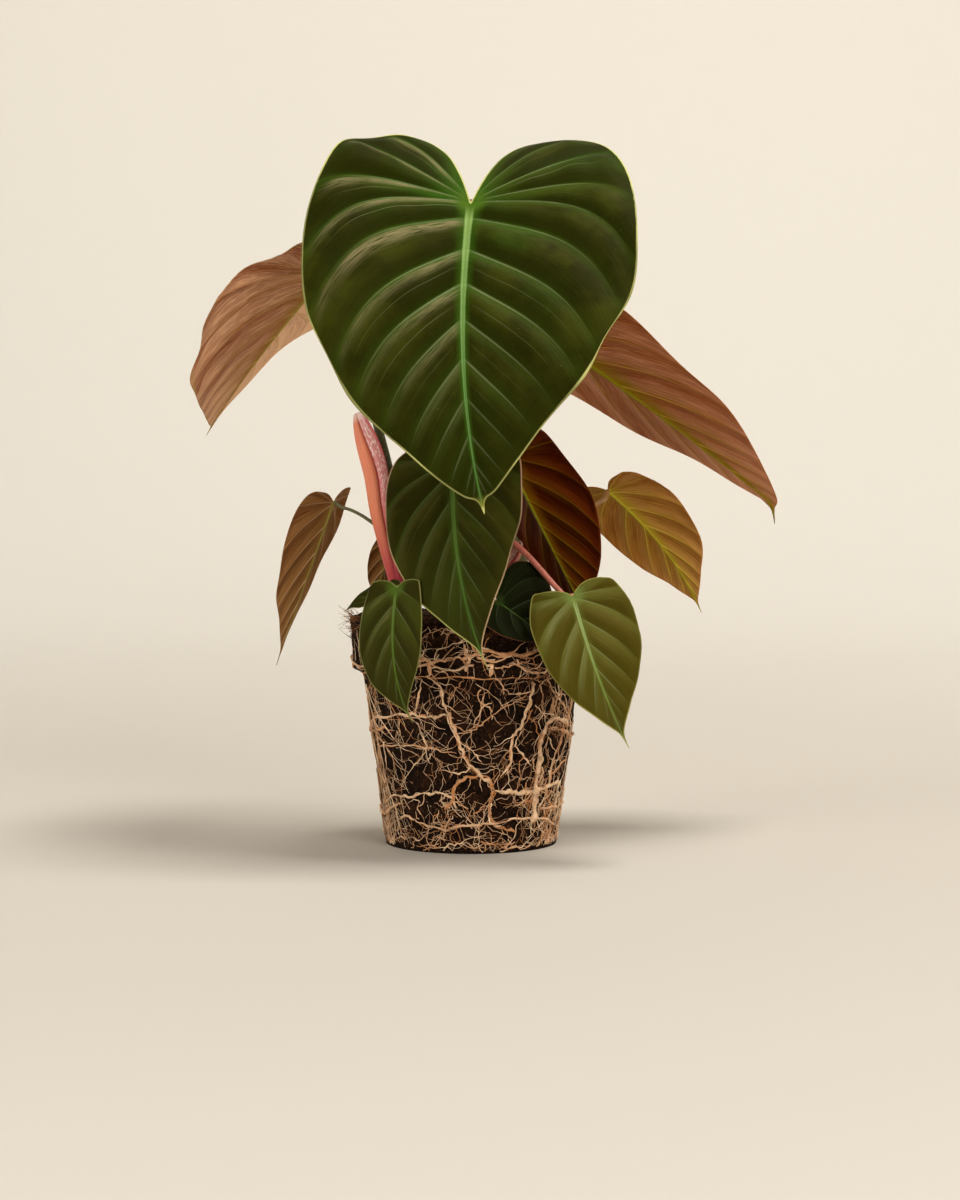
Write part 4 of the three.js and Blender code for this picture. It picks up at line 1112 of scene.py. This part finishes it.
def soil_finish(colours):
    """Dark crumbly potting soil with paler bits of fibre, and painted shade in its hollows."""
    material, start = new_finish("potting_soil")
    place = start.position()
    relief = start.attribute("crumb", "Fac")
    crumb = start.grain(place, 700, 4, 0.7)
    patch = start.grain(place, 60, 3)
    bits = start.cells(place, 900)
    fibre = start.grain(place.along_z(0.25), 1500, 2)
    rise = place.parts()[2]
    dry = rise.smooth(0.1, 0.107) * relief.smooth(-0.2, 0.4) * crumb.smooth(0.35, 0.55)
    bark = bits.smooth(0.22, 0.1) * patch.smooth(0.4, 0.6)
    # The fine crumbs are painted darker where they sink, and the deepest hollows of the crumb
    # relief get a near-black painted shade
    colour = layered(
        seen(colours.soil_dark),
        (crumb.smooth(0.35, 0.7), seen(colours.soil)),
        (patch.smooth(0.5, 0.72) * 0.5, seen(colours.soil_rust)),
        (dry * 0.75, seen(colours.fibre)),
        (fibre.smooth(0.6, 0.7) * 0.6, seen(colours.fibre)),
        (bark * 0.6, seen(colours.fibre)),
        # Painted shade in the deepest hollows
        (relief.smooth(0.1, -0.5) * 0.75, SOIL_HOLLOW_SHADE))
    height = crumb * 0.6 + bits * 0.5
    coat(start, Base_Color=colour, Roughness=0.9 + crumb * 0.1, Normal=height.bump(0.0012),
         Specular_IOR_Level=0.08)
    return material


def root_finish(colours):
    """Pale roots from cream to tan, stained by soil."""
    material, start = new_finish("root_skin")
    place = start.position()
    tone = start.attribute("tone", "Fac")
    stain = start.grain(place, 120, 4)
    fine = start.grain(place, 1400, 2)
    knots = start.grain(place, 520, 3)
    colour = layered(
        seen(colours.root_tan),
        (tone + knots * 0.9 - 0.5, seen(colours.root_cream)),
        (stain.smooth(0.48, 0.68) * 0.6, seen(colours.root_stain)),
        (fine.smooth(0.55, 0.8) * 0.25, seen(colours.root_stain)),
        (tone.smooth(0.05, -0.3), seen(colours.fibre)))
    height = fine * 0.4 + knots * 0.8
    coat(start, Base_Color=colour, Roughness=0.62 + fine * 0.2, Normal=height.bump(0.0006),
         Specular_IOR_Level=0.3)
    return material


def bark_finish(name, low, high, colours):
    """Skin of a stem or stalk, shaded from its foot to its top, with small pale warts."""
    material, start = new_finish(name)
    place = start.position()
    rise = start.attribute("rise", "Fac")
    spots = start.cells(place, 950)
    streak = start.grain(place.along_z(0.12), 900, 3)
    wart = spots.smooth(0.32, 0.12)
    colour = layered(
        low,
        (rise, high),
        (streak.smooth(0.4, 0.7) * 0.35, seen(colours.stalk_streak)),
        (wart * 0.4 * streak.smooth(0.35, 0.6), seen(colours.wart)))
    height = wart * 0.5 + streak * 0.4
    coat(start, Base_Color=colour, Roughness=0.42 + streak * 0.2, Normal=height.bump(0.0004))
    return material


def sheath_finish(name, sheath):
    """Glistening sheath of two facets, red at the foot, the edges and the crease between them.

    The glistening is painted: glints on the right facet and a highlight at the tip.
    """
    left_low, left_high = (paint(code) for code in sheath["left"])
    right_low, right_high = (paint(code) for code in sheath["right"])
    material, start = new_finish(name)
    rise, side, outer = start.attribute("gutter").parts()
    across = side - rise * (1 - rise) * CREASE_BEND
    place = start.position()
    spark = start.cells(start.vector(side * 13, rise * 48, outer), 1)
    grain = start.grain(place, 1900, 2)
    vein = start.grain(start.vector(across * 14, rise * 1.6, outer), 3, 3)
    left = rise.smooth(0.2, 0.55).mix(left_low, left_high)
    right = rise.smooth(0.2, 0.55).mix(right_low, right_high)
    crease = abs(across).smooth(0.14, 0.03) * rise.smooth(0.12, 0.4)
    # Painted glints: bright specks and streaks on the upper part of the right facet
    glint = spark.smooth(0.6, 0.2) * grain.smooth(0.3, 0.5) + vein.smooth(0.35, 0.65) * 0.45
    glint = glint * rise.smooth(0.35, 0.8) * across.smooth(-0.05, 0.2) * across.smooth(0.75, 0.5)
    colour = layered(
        left,
        (across.smooth(-0.12, 0.12), right),
        (vein.smooth(0.42, 0.7) * 0.4, left_low),
        (abs(side).smooth(0.86, 1) * 0.8, paint(SHEATH_EDGE)),
        (crease * 0.85, paint(SHEATH_CREASE)),
        (glint * 0.9, paint(sheath["spark"])),
        # A painted highlight at the tip
        (rise.smooth(0.95, 0.995) * 0.7, paint(sheath["spark"])))
    height = spark * -0.4 + vein * 0.5
    coat(start, Base_Color=colour, Roughness=0.36 + vein * 0.15, Normal=height.bump(0.0004),
         Subsurface_Weight=0.1, Subsurface_Scale=0.002)
    return material


def crumb_height(point):
    """Relief of crumbly soil at a point in mm: lumps, crumbs and fine grain."""
    lumps = noise.noise(Vector(point) * 0.16)
    near, _ = noise.voronoi(Vector(point) * 0.3)
    small, _ = noise.voronoi(Vector(point) * 0.62)
    return 0.55 * lumps + 0.75 * (0.5 - near[0]) + 0.4 * (0.5 - small[0])


def make_soil(sizes, colours):
    """The plug as one fine lathe, from the middle of its underside to the middle of its top."""
    angle = np.linspace(0, 2 * math.pi, PLUG_COLUMNS, endpoint=False)
    step_top = PLUG_STEP_HEIGHT + RIM_RISE
    heights = np.concatenate([
        np.linspace(0, PLUG_STEP_HEIGHT, WALL_RINGS),
        np.linspace(PLUG_STEP_HEIGHT, step_top, STEP_RINGS)[1:],
        np.linspace(step_top, PLUG_EDGE, RIM_RINGS)[1:]])
    side = [on_plug(angle, np.full_like(angle, height), 0) for height in heights]
    foot, edge = side[0], side[-1]
    rings = [foot * (share, share, 1) for share in UNDERSIDE_SHARES] + side
    for share in np.linspace(1, 0.02, TOP_RINGS)[1:]:
        rise = np.interp(share, SOIL_TOP_SHARES, SOIL_TOP_RISES)
        ring = edge * (share, share, 1)
        ring[:, 2] += rise
        rings.append(ring)
    rings = np.array(rings)
    flat = rings.reshape(-1, 3)
    crumbs = np.array([crumb_height(point) for point in flat]).reshape(rings.shape[:2])
    outward = unit(rings * (1, 1, 0))
    on_top = smoothstep(rings[..., 2], PLUG_EDGE - 1, PLUG_EDGE + 0.4)[..., None]
    direction = outward * (1 - on_top) + np.array([0, 0, 1]) * on_top
    amount = sizes.crumb_height / MM * crumbs * smoothstep(rings[..., 2], 0, 1.5)
    amount *= 1 + 1.1 * smoothstep(rings[..., 2], 98, PLUG_EDGE)
    rings = rings + direction * amount[..., None]
    faces = tube_faces(np.arange(crumbs.size).reshape(crumbs.shape))
    layers = [("crumb", "FLOAT", "POINT", crumbs.ravel())]
    piece = make_piece("soil", rings.reshape(-1, 3), faces, soil_finish(colours), layers)
    settle(piece, "soil_plug")


class RootNet:
    """Grows the roots over the plug: main roots on their routes, and seeded finer ones."""

    # Length of a step of a finer root, strands woven along each main root, what the radii of the
    # front's routes are multiplied by, and the radius of the roots that ring the plug
    STEP = 1.5
    STRANDS = 3
    MAIN_SCALE = 0.7
    RING_RADIUS = 0.55

    def __init__(self, seed):
        self.random = random.Random(seed)
        self.main = Tubes(7)
        self.fine = [Tubes(5), Tubes(5)]

    def lay(self, tubes, angles, heights, radii, lift, tone):
        """Lays one root over the plug, its middle lifted off the soil."""
        heights = np.clip(heights, 0.6 + radii, PLUG_HEIGHT + 1)
        points = on_plug(np.asarray(angles), heights, np.asarray(lift))
        tubes.add(points, radii, tone)

    def wobble(self, count, size):
        """Random bends along a root, softened a little."""
        draws = [self.random.gauss(0, size) for _ in range(count)]
        return np.convolve(draws, (0.25, 0.5, 0.25), "same")

    def main_root(self, angles, heights, radius):
        """A thick root on its route with knobs and kinks, and thin strands woven along it."""
        route = spline(np.column_stack([angles, heights]), 7 * len(angles))
        count = len(route)
        angle = route[:, 0] + self.wobble(count, 0.6) / PLUG_STEP_RADIUS
        height = route[:, 1] + self.wobble(count, 0.6)
        girth = radius * np.clip(1 + self.wobble(count, 0.7), 0.6, 1.8)
        girth[:3] *= (0.5, 0.75, 0.9)
        girth[-5:] *= np.linspace(1, 0.4, 5)
        tone = 0.1 + 0.7 * self.random.random()
        self.lay(self.main, angle, height, girth, girth * 0.55 + 0.2, tone)
        run = unit(np.gradient(np.column_stack([angle * PLUG_STEP_RADIUS, height]), axis=0))
        for _ in range(self.STRANDS):
            first, last = sorted(self.random.sample(range(count), 2))
            turn = np.arange(count) * self.random.uniform(0.2, 0.5) + first
            weave = radius * 1.3 * np.sin(turn) + self.wobble(count, 0.35)
            strand_angle = (angle - run[:, 1] * weave / PLUG_STEP_RADIUS)[first:last + 1]
            strand_height = (height + run[:, 0] * weave)[first:last + 1]
            if last - first > 5:
                size = radius * self.random.uniform(0.35, 0.65)
                girth = size * np.clip(1 + self.wobble(last - first + 1, 0.4), 0.6, 1.5)
                lift = girth * 0.6 + self.random.uniform(0.1, 0.7) * radius
                tone = self.random.random()
                self.lay(self.main, strand_angle, strand_height, girth, lift, tone)
        for i in range(3, count - 3, 4):
            if self.random.random() < 0.5:
                heading = math.atan2(run[i, 1], run[i, 0])
                heading += self.random.choice((-1, 1)) * self.random.uniform(0.35, 1.3)
                self.rootlet(angle[i], height[i], heading, self.random.uniform(4, 20),
                             radius * self.random.uniform(0.25, 0.5), 0.3)

    def rootlet(self, angle, height, heading, length, radius, curl, depth=0):
        """A finer root that wavers over the plug from a place and heading, and branches."""
        steps = max(int(length / self.STEP), 4)
        sway = 0.0
        lift = self.random.uniform(0, 0.5)
        angles, heights = [angle], [height]
        starts = []
        for i in range(steps):
            sway = 0.8 * sway + self.random.gauss(0, curl)
            heading += self.random.gauss(0, curl * 0.3)
            turn = heading + sway
            if (heights[-1] < 2 and math.sin(turn) < 0) or (
                    heights[-1] > PLUG_HEIGHT - 3 and math.sin(turn) > 0):
                heading, sway, turn = -heading, -sway, -turn
            radius_here = float(plug_radius(angles[-1], heights[-1]))
            angles.append(angles[-1] + math.cos(turn) * self.STEP / radius_here)
            heights.append(heights[-1] + math.sin(turn) * self.STEP)
            if depth < 2 and self.random.random() < 0.1:
                branch = turn + self.random.choice((-1, 1)) * self.random.uniform(0.5, 1.2)
                starts.append((i + 1, branch))
        share = np.linspace(0, 1, steps + 1)
        radii = np.maximum(radius * (1 - 0.75 * share), 0.09)
        radii = radii * np.clip(1 + self.wobble(steps + 1, 0.3), 0.7, 1.4)
        tone = self.random.random()
        tubes = self.fine[self.random.random() < 0.5]
        self.lay(tubes, np.array(angles), np.array(heights), radii, radii * 0.6 + lift, tone)
        for place, turn in starts:
            reach = length * self.random.uniform(0.3, 0.7)
            self.rootlet(angles[place], heights[place], turn, reach, radii[place] * 0.75, curl,
                         depth + 1)

    def grow_main(self):
        """The main roots of the front, and the thin ones that ring the plug."""
        front = -math.pi / 2
        for radius, route in FRONT_ROOTS:
            across, heights = np.array(route, float).T
            radius = radius * self.MAIN_SCALE
            share = np.clip(across / plug_radius(front, heights), -0.98, 0.98)
            self.main_root(front + np.arcsin(share), heights, radius)
        for height in RING_HEIGHTS:
            angles = np.radians(np.linspace(-42, 222, 27))
            heights = height + 3 * np.sin(3 * angles + height) + 2 * np.sin(7 * angles)
            self.main_root(angles, heights, self.RING_RADIUS)

    def grow_tangles(self, thickness):
        """Finer roots, drawn zone by zone."""
        for angles, heights, count, length, radius, curl, way in TANGLES:
            for _ in range(count):
                angle = math.radians(self.random.uniform(*angles))
                height = self.random.uniform(*heights)
                spread = self.random.gauss(0, 0.5)
                heading = {
                    "down": -math.pi / 2 + spread,
                    "along": self.random.choice((0, math.pi)) + spread * 0.5,
                    "any": self.random.uniform(0, 2 * math.pi),
                }[way]
                reach = length * self.random.uniform(0.5, 1.4)
                girth = radius * thickness * self.random.uniform(0.6, 1.25)
                self.rootlet(angle, height, heading, reach, girth, curl)

    def grow_whiskers(self, count):
        """Thin brown fibres that stand off the rim and the top of the soil, most at its left."""
        for i in range(count):
            angle = self.random.uniform(0, 2 * math.pi)
            reach = self.random.uniform(1.5, 5)
            # Every third one stands at the left
            if i % 3 == 0:
                angle = math.radians(self.random.gauss(-168, 16))
                reach = self.random.uniform(1, 6)
            height = PLUG_HEIGHT - 12 * self.random.random() ** 2
            start = on_plug(np.array(angle), np.array(height), -0.5)
            outward = np.array([math.cos(angle), math.sin(angle), self.random.uniform(-0.4, 1.3)])
            outward /= np.linalg.norm(outward)
            drift = np.array([self.random.gauss(0, 0.5) for _ in range(3)])
            share = np.linspace(0, 1, 7)[:, None]
            path = start + (outward * share + drift * share ** 2) * reach
            tone = self.random.uniform(-1, 0.2)
            self.fine[0].add(path, np.linspace(0.13, 0.05, len(path)), tone)


def make_sheath(name, sheath, sizes):
    """A thin gutter along its spine that closes to a blunt tip, with a crease down its middle."""
    share = np.linspace(0, 1, SHEATH_ROWS + 1)
    place = np.linspace(-1, 1, SHEATH_COLUMNS + 1)
    spine = spline(sheath["spine"], len(share))
    facing = math.radians(sheath["facing"])
    _, across, up = carried_frames(spine, np.array([math.cos(facing), math.sin(facing), 0]))
    blunt = np.sqrt(1 - (SHEATH_TIP * share) ** SHEATH_BLUNTNESS)
    swell = spline(np.column_stack([SHEATH_SHARES, sheath["swell"]]), 50)
    radius = sheath["width"] * np.interp(share, swell[:, 0], swell[:, 1]) * blunt
    opening = math.radians(sheath["wrap"]) * (1 - SHEATH_OPENING * share)
    angle = opening[:, None] * place[None, :]
    ripple = 0.25 * np.sin(9 * share)[:, None] * place[None, :] ** 2
    crease = place[None, :] - CREASE_BEND * (share * (1 - share))[:, None]
    groove = hump(crease, CREASE_WIDTH) * smoothstep(share, 0.12, 0.4)[:, None]
    reach = radius[:, None] * (1 - CREASE_DEPTH * groove) + ripple
    outward = (across[:, None, :] * np.cos(angle)[..., None]
               + up[:, None, :] * np.sin(angle)[..., None])
    middle = spine[:, None, :] + outward * reach[..., None]
    square = unit(np.cross(np.gradient(middle, axis=1), np.gradient(middle, axis=0)))
    square *= np.sign((square * outward).sum(-1, keepdims=True))
    edge = np.minimum(1 - np.abs(place)[None, :], 1.2 * (1 - share)[:, None])
    half = sizes.sheath_thickness / MM / 2 * (0.35 + 0.65 * smoothstep(edge, 0, 0.25))
    faces_out = middle + square * half[..., None]
    faces_in = middle - square * half[..., None]
    ids = np.arange(angle.size).reshape(angle.shape)
    quads = grid_faces(ids)
    faces = quads.tolist() + (quads[:, ::-1] + ids.size).tolist()
    border = np.concatenate([ids[0, :], ids[1:, -1], ids[-1, -2::-1], ids[-2::-1, 0]]).tolist()
    for a, b in zip(border[:-1], border[1:]):
        faces.append([b, a, a + ids.size, b + ids.size])
    # Each point knows its place along and across the gutter, and whether it lies outside
    shares, places = np.broadcast_arrays(share[:, None], place[None, :])
    layer = np.column_stack([shares.ravel(), places.ravel()])
    values = np.vstack([np.column_stack([layer, np.full(ids.size, side)]) for side in (1, 0)])
    points = np.vstack([faces_out.reshape(-1, 3), faces_in.reshape(-1, 3)])
    material = sheath_finish(f"{name}_skin", sheath)
    piece = make_piece(f"{name}_gutter", points, faces, material,
                       [("gutter", "FLOAT_VECTOR", "POINT", values)])
    settle(piece, name)


class PlantSizes(bpy.types.PropertyGroup):
    """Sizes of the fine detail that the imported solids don't hold."""

    blade_thickness: FloatProperty(
        name="Blade thickness", description="Thickness of a leaf blade away from its margin",
        default=0.45 * MM, min=0.1 * MM, max=1.5 * MM, unit="LENGTH")
    quilting: FloatProperty(
        name="Quilting", description="Rise between side veins as a share of their spacing",
        default=0.19, min=0, max=0.3, subtype="FACTOR")
    crumb_height: FloatProperty(
        name="Crumb height", description="Relief of the crumbs of soil",
        default=0.9 * MM, min=0, max=3 * MM, unit="LENGTH")
    root_thickness: FloatProperty(
        name="Root thickness", description="Thickness of the finer roots as a share of the usual",
        default=1, min=0.3, max=2, subtype="FACTOR")
    sheath_thickness: FloatProperty(
        name="Sheath thickness", description="Thickness of a leaf sheath",
        default=0.7 * MM, min=0.2 * MM, max=2 * MM, unit="LENGTH")
    whiskers: IntProperty(
        name="Whiskers", description="Thin fibres that stand off the rim of the soil",
        default=260, min=0, max=2000)
    root_seed: IntProperty(
        name="Root seed", description="Starts the random draws that the roots grow by", default=5)


def tint(label, text, code):
    """A colour property whose default is written as #rrggbb, as seen."""
    return FloatVectorProperty(name=label, description=text, default=channels(code), size=3,
                               min=0, max=1, subtype="COLOR_GAMMA")


class PlantColours(bpy.types.PropertyGroup):
    """Colours that several pieces share."""

    velvet: tint("Velvet", "Tint of the gloss of the velvety blades", "#ffdfa0")
    soil: tint("Soil", "Crumbs of moist potting soil", "#26150a")
    # The soil's own dark colour, also laid in the hollows between crumbs as painted shade
    soil_dark: tint("Deep soil", "Hollows between the crumbs", "#0f0703")
    soil_rust: tint("Rusty soil", "Warmer patches of the soil", "#3c2010")
    fibre: tint("Soil fibre", "Bits of coir and bark in the soil", "#6c482a")
    root_cream: tint("Cream root", "Young, pale roots", "#fadcb6")
    root_tan: tint("Tan root", "Older roots", "#bc7c46")
    root_stain: tint("Root stain", "Soil dust on the roots", "#6e401f")
    stem_low: tint("Stem foot", "Stem at the soil", "#5a4426")
    stem_high: tint("Stem top", "Stem among the stalks", "#6e7a3c")
    stalk_streak: tint("Stalk streak", "Darker lines along a stalk", "#3c2818")
    wart: tint("Wart", "Small pale warts of a stalk", "#d8b8a0")
    backdrop: tint("Backdrop", "Paper behind the plant", "#d4cec4")
    haze: tint("Horizon", "Soft light round the studio", "#ece6da")
    sky: tint("Overhead", "Dimmer light above the studio", "#88867f")
    # Darker than the backdrop near the plant: a painted shade against the strong light from above
    floor: tint("Floor", "Paper under the plant", "#bab2a6")


class PLANT_OT_soil(bpy.types.Operator):
    """Makes the plug of potting soil"""
    bl_idname = "plant.soil"
    bl_label = "Soil plug"

    def execute(self, context):
        make_soil(context.scene.plant_sizes, context.scene.plant_colours)
        return {"FINISHED"}


class PLANT_OT_roots(bpy.types.Operator):
    """Grows the roots over the plug"""
    bl_idname = "plant.roots"
    bl_label = "Roots"

    def execute(self, context):
        sizes, colours = context.scene.plant_sizes, context.scene.plant_colours
        net = RootNet(sizes.root_seed)
        net.grow_main()
        net.grow_tangles(sizes.root_thickness)
        net.grow_whiskers(sizes.whiskers)
        material = root_finish(colours)
        settle(net.main.piece("roots_main", material, "tone"), "root_net")
        for name, tubes in zip(("roots_fine_a", "roots_fine_b"), net.fine):
            settle(tubes.piece(name, material, "tone"), "root_net")
        return {"FINISHED"}


class PLANT_OT_stems(bpy.types.Operator):
    """Makes the three short stems"""
    bl_idname = "plant.stems"
    bl_label = "Stems"

    def execute(self, context):
        colours = context.scene.plant_colours
        low, high = seen(colours.stem_low), seen(colours.stem_high)
        material = bark_finish("stem_skin", low, high, colours)
        share = np.linspace(0, 1, STEM_POINTS)
        taper = np.interp(share, [0, 0.6, 0.85, 1], [1, 0.97, 0.92, 0.8])
        radii = STEM_RADIUS * taper + JOINT_RISE * hump(share * STEM_JOINTS % 1 - 0.5, 0.1)
        radii[-3:] *= [0.9, 0.7, 0.35]
        for name, stem in STEMS.items():
            path = spline(stem_path(stem), STEM_POINTS)
            tubes = Tubes(20)
            tubes.add(path, radii, share)
            piece = tubes.piece(f"stem_skin_{name}", material, "rise")
            settle(piece, f"stem_{name}")
        return {"FINISHED"}


class PLANT_OT_stalks(bpy.types.Operator):
    """Makes the stalk of each leaf"""
    bl_idname = "plant.stalks"
    bl_label = "Stalks"

    def execute(self, context):
        colours = context.scene.plant_colours
        for name, leaf in LEAVES.items():
            path = stalk_path(leaf, Midrib(leaf))
            share = np.clip(np.arange(len(path)) / (STALK_POINTS - 1), 0, 1)
            foot, top = leaf["radius"]
            # A stalk swells a little at both ends
            swelling = 0.175 * hump(share - 1, 0.05) + 0.15 * hump(share, 0.08)
            radii = (foot + (top - foot) * share ** STALK_TAPER) * (1 + swelling)
            radii[-3:] *= [0.98, 0.95, 0.9]
            tubes = Tubes(14)
            tubes.add(path, radii, share)
            low, high = (paint(code) for code in STALK_LOOKS[name])
            material = bark_finish(f"stalk_skin_{name}", low, high, colours)
            settle(tubes.piece(f"petiole_{name}", material, "rise"), f"stalk_{name}")
        return {"FINISHED"}


class PLANT_OT_blades(bpy.types.Operator):
    """Makes the heart-shaped blade of each leaf"""
    bl_idname = "plant.blades"
    bl_label = "Leaf blades"

    def execute(self, context):
        sizes, colours = context.scene.plant_sizes, context.scene.plant_colours
        for index, (name, leaf) in enumerate(LEAVES.items()):
            points, faces, layers = Blade(leaf, index, sizes).build()
            material = blade_finish(f"blade_skin_{name}", leaf, index, colours)
            piece = make_piece(f"blade_{name}", points, faces, material, layers)
            settle(piece, f"leaf_{name}")
        return {"FINISHED"}


class PLANT_OT_sheaths(bpy.types.Operator):
    """Makes the two leaf sheaths"""
    bl_idname = "plant.sheaths"
    bl_label = "Leaf sheaths"

    def execute(self, context):
        for name, sheath in SHEATHS.items():
            make_sheath(name, sheath, context.scene.plant_sizes)
        return {"FINISHED"}


def add_lamp(name, place, aim, width, power):
    """A soft square lamp aimed at a point."""
    lamp = bpy.data.lights.new(name, "AREA")
    lamp.size = width
    lamp.energy = power
    lamp.color = LAMP_COLOUR
    holder = bpy.data.objects.new(name, lamp)
    holder.location = place
    direction = Vector(aim) - Vector(place)
    holder.rotation_euler = direction.to_track_quat("-Z", "Y").to_euler()
    bpy.context.scene.collection.objects.link(holder)


def make_backdrop(colours):
    """The sheet of paper: floor, bend and wall, which glows softly far from the plant.

    Its floor near the plant is painted darker, a painted shade against the light from above.
    """
    material, start = new_finish("backdrop_paper")
    place = start.position()
    fibre = start.grain(place, 300, 3)
    distance = start.node("ShaderNodeVectorMath", {"operation": "LENGTH"}, {0: place}, "Value")
    # Darker floor paper near the plant: painted shade that evens out the strong light from above
    paper = distance.smooth(0.25, 1.5).mix(seen(colours.floor), seen(colours.backdrop))
    near, far = GLOW_REACH
    sideways, behind, _ = place.parts()
    beyond = 1 - abs(sideways).smooth(far, near) * behind.smooth(-far, -near)
    glow = beyond.mix(paint("#000000"), seen(colours.haze))
    coat(start, Base_Color=paper, Roughness=0.9, Normal=fibre.bump(0.0002, 0.2),
         Emission_Color=glow, Emission_Strength=GLOW_STRENGTH)
    line = [(FLOOR_FRONT, 0)]
    for bend in np.radians(np.linspace(0, 90, BEND_POINTS)):
        inwards = FLOOR_BACK + BEND_RADIUS * math.sin(bend)
        line.append((inwards, BEND_RADIUS * (1 - math.cos(bend))))
    line.append((FLOOR_BACK + BEND_RADIUS, WALL_HEIGHT))
    points = [(x, y, z) for y, z in line for x in (-FLOOR_SIDE, FLOOR_SIDE)]
    faces = [[2 * i, 2 * i + 1, 2 * i + 3, 2 * i + 2] for i in range(len(line) - 1)]
    make_piece("backdrop", points, faces, material)


def make_surroundings(scene, colours):
    """The light all round: a bright horizon under a dimmer sky."""
    world = bpy.data.worlds.new("studio")
    world.use_nodes = True
    around = Wire(world.node_tree)
    direction = around.node("ShaderNodeTexCoord", {}, {}, "Generated").parts()[2]
    light = abs(direction).smooth(0.3, 0.7).mix(seen(colours.haze), seen(colours.sky))
    background = world.node_tree.nodes["Background"]
    world.node_tree.links.new(light.socket, background.inputs["Color"])
    scene.world = world


def make_camera(scene):
    """The camera of the photograph."""
    camera = bpy.data.cameras.new("photo_view")
    camera.lens = CAMERA_LENS
    camera.sensor_width = CAMERA_SENSOR
    holder = bpy.data.objects.new("photo_view", camera)
    holder.location = CAMERA_PLACE
    holder.rotation_euler = (math.radians(90 - CAMERA_DIP), 0, 0)
    scene.collection.objects.link(holder)
    scene.camera = holder


class PLANT_OT_studio(bpy.types.Operator):
    """Makes the paper backdrop, the lights and the camera"""
    bl_idname = "plant.studio"
    bl_label = "Studio"

    def execute(self, context):
        colours = context.scene.plant_colours
        make_backdrop(colours)
        for name, lamp in LAMPS.items():
            add_lamp(name, **lamp)
        make_surroundings(context.scene, colours)
        make_camera(context.scene)
        context.scene.view_settings.view_transform = "Standard"
        return {"FINISHED"}


OPERATORS = (PLANT_OT_soil, PLANT_OT_roots, PLANT_OT_stems, PLANT_OT_stalks, PLANT_OT_blades,
             PLANT_OT_sheaths, PLANT_OT_studio)


class PLANT_PT_panel(bpy.types.Panel):
    """Lists the sizes, the colours and the steps that build the plant"""
    bl_idname = "PLANT_PT_panel"
    bl_label = "Philodendron"
    bl_space_type = "VIEW_3D"
    bl_region_type = "UI"
    bl_category = "Plant"

    def draw(self, context):
        for operator in OPERATORS:
            self.layout.operator(operator.bl_idname)
        for group in (context.scene.plant_sizes, context.scene.plant_colours):
            for key in group.__annotations__:
                self.layout.prop(group, key)


CLASSES = (PlantSizes, PlantColours, *OPERATORS, PLANT_PT_panel)


def register():
    for item in CLASSES:
        bpy.utils.register_class(item)
    bpy.types.Scene.plant_sizes = PointerProperty(type=PlantSizes)
    bpy.types.Scene.plant_colours = PointerProperty(type=PlantColours)


def unregister():
    del bpy.types.Scene.plant_colours
    del bpy.types.Scene.plant_sizes
    for item in reversed(CLASSES):
        bpy.utils.unregister_class(item)


def main():
    register()
    for operator in OPERATORS:
        category, action = operator.bl_idname.split(".")
        getattr(getattr(bpy.ops, category), action)()


if __name__ == "__main__":
    main()
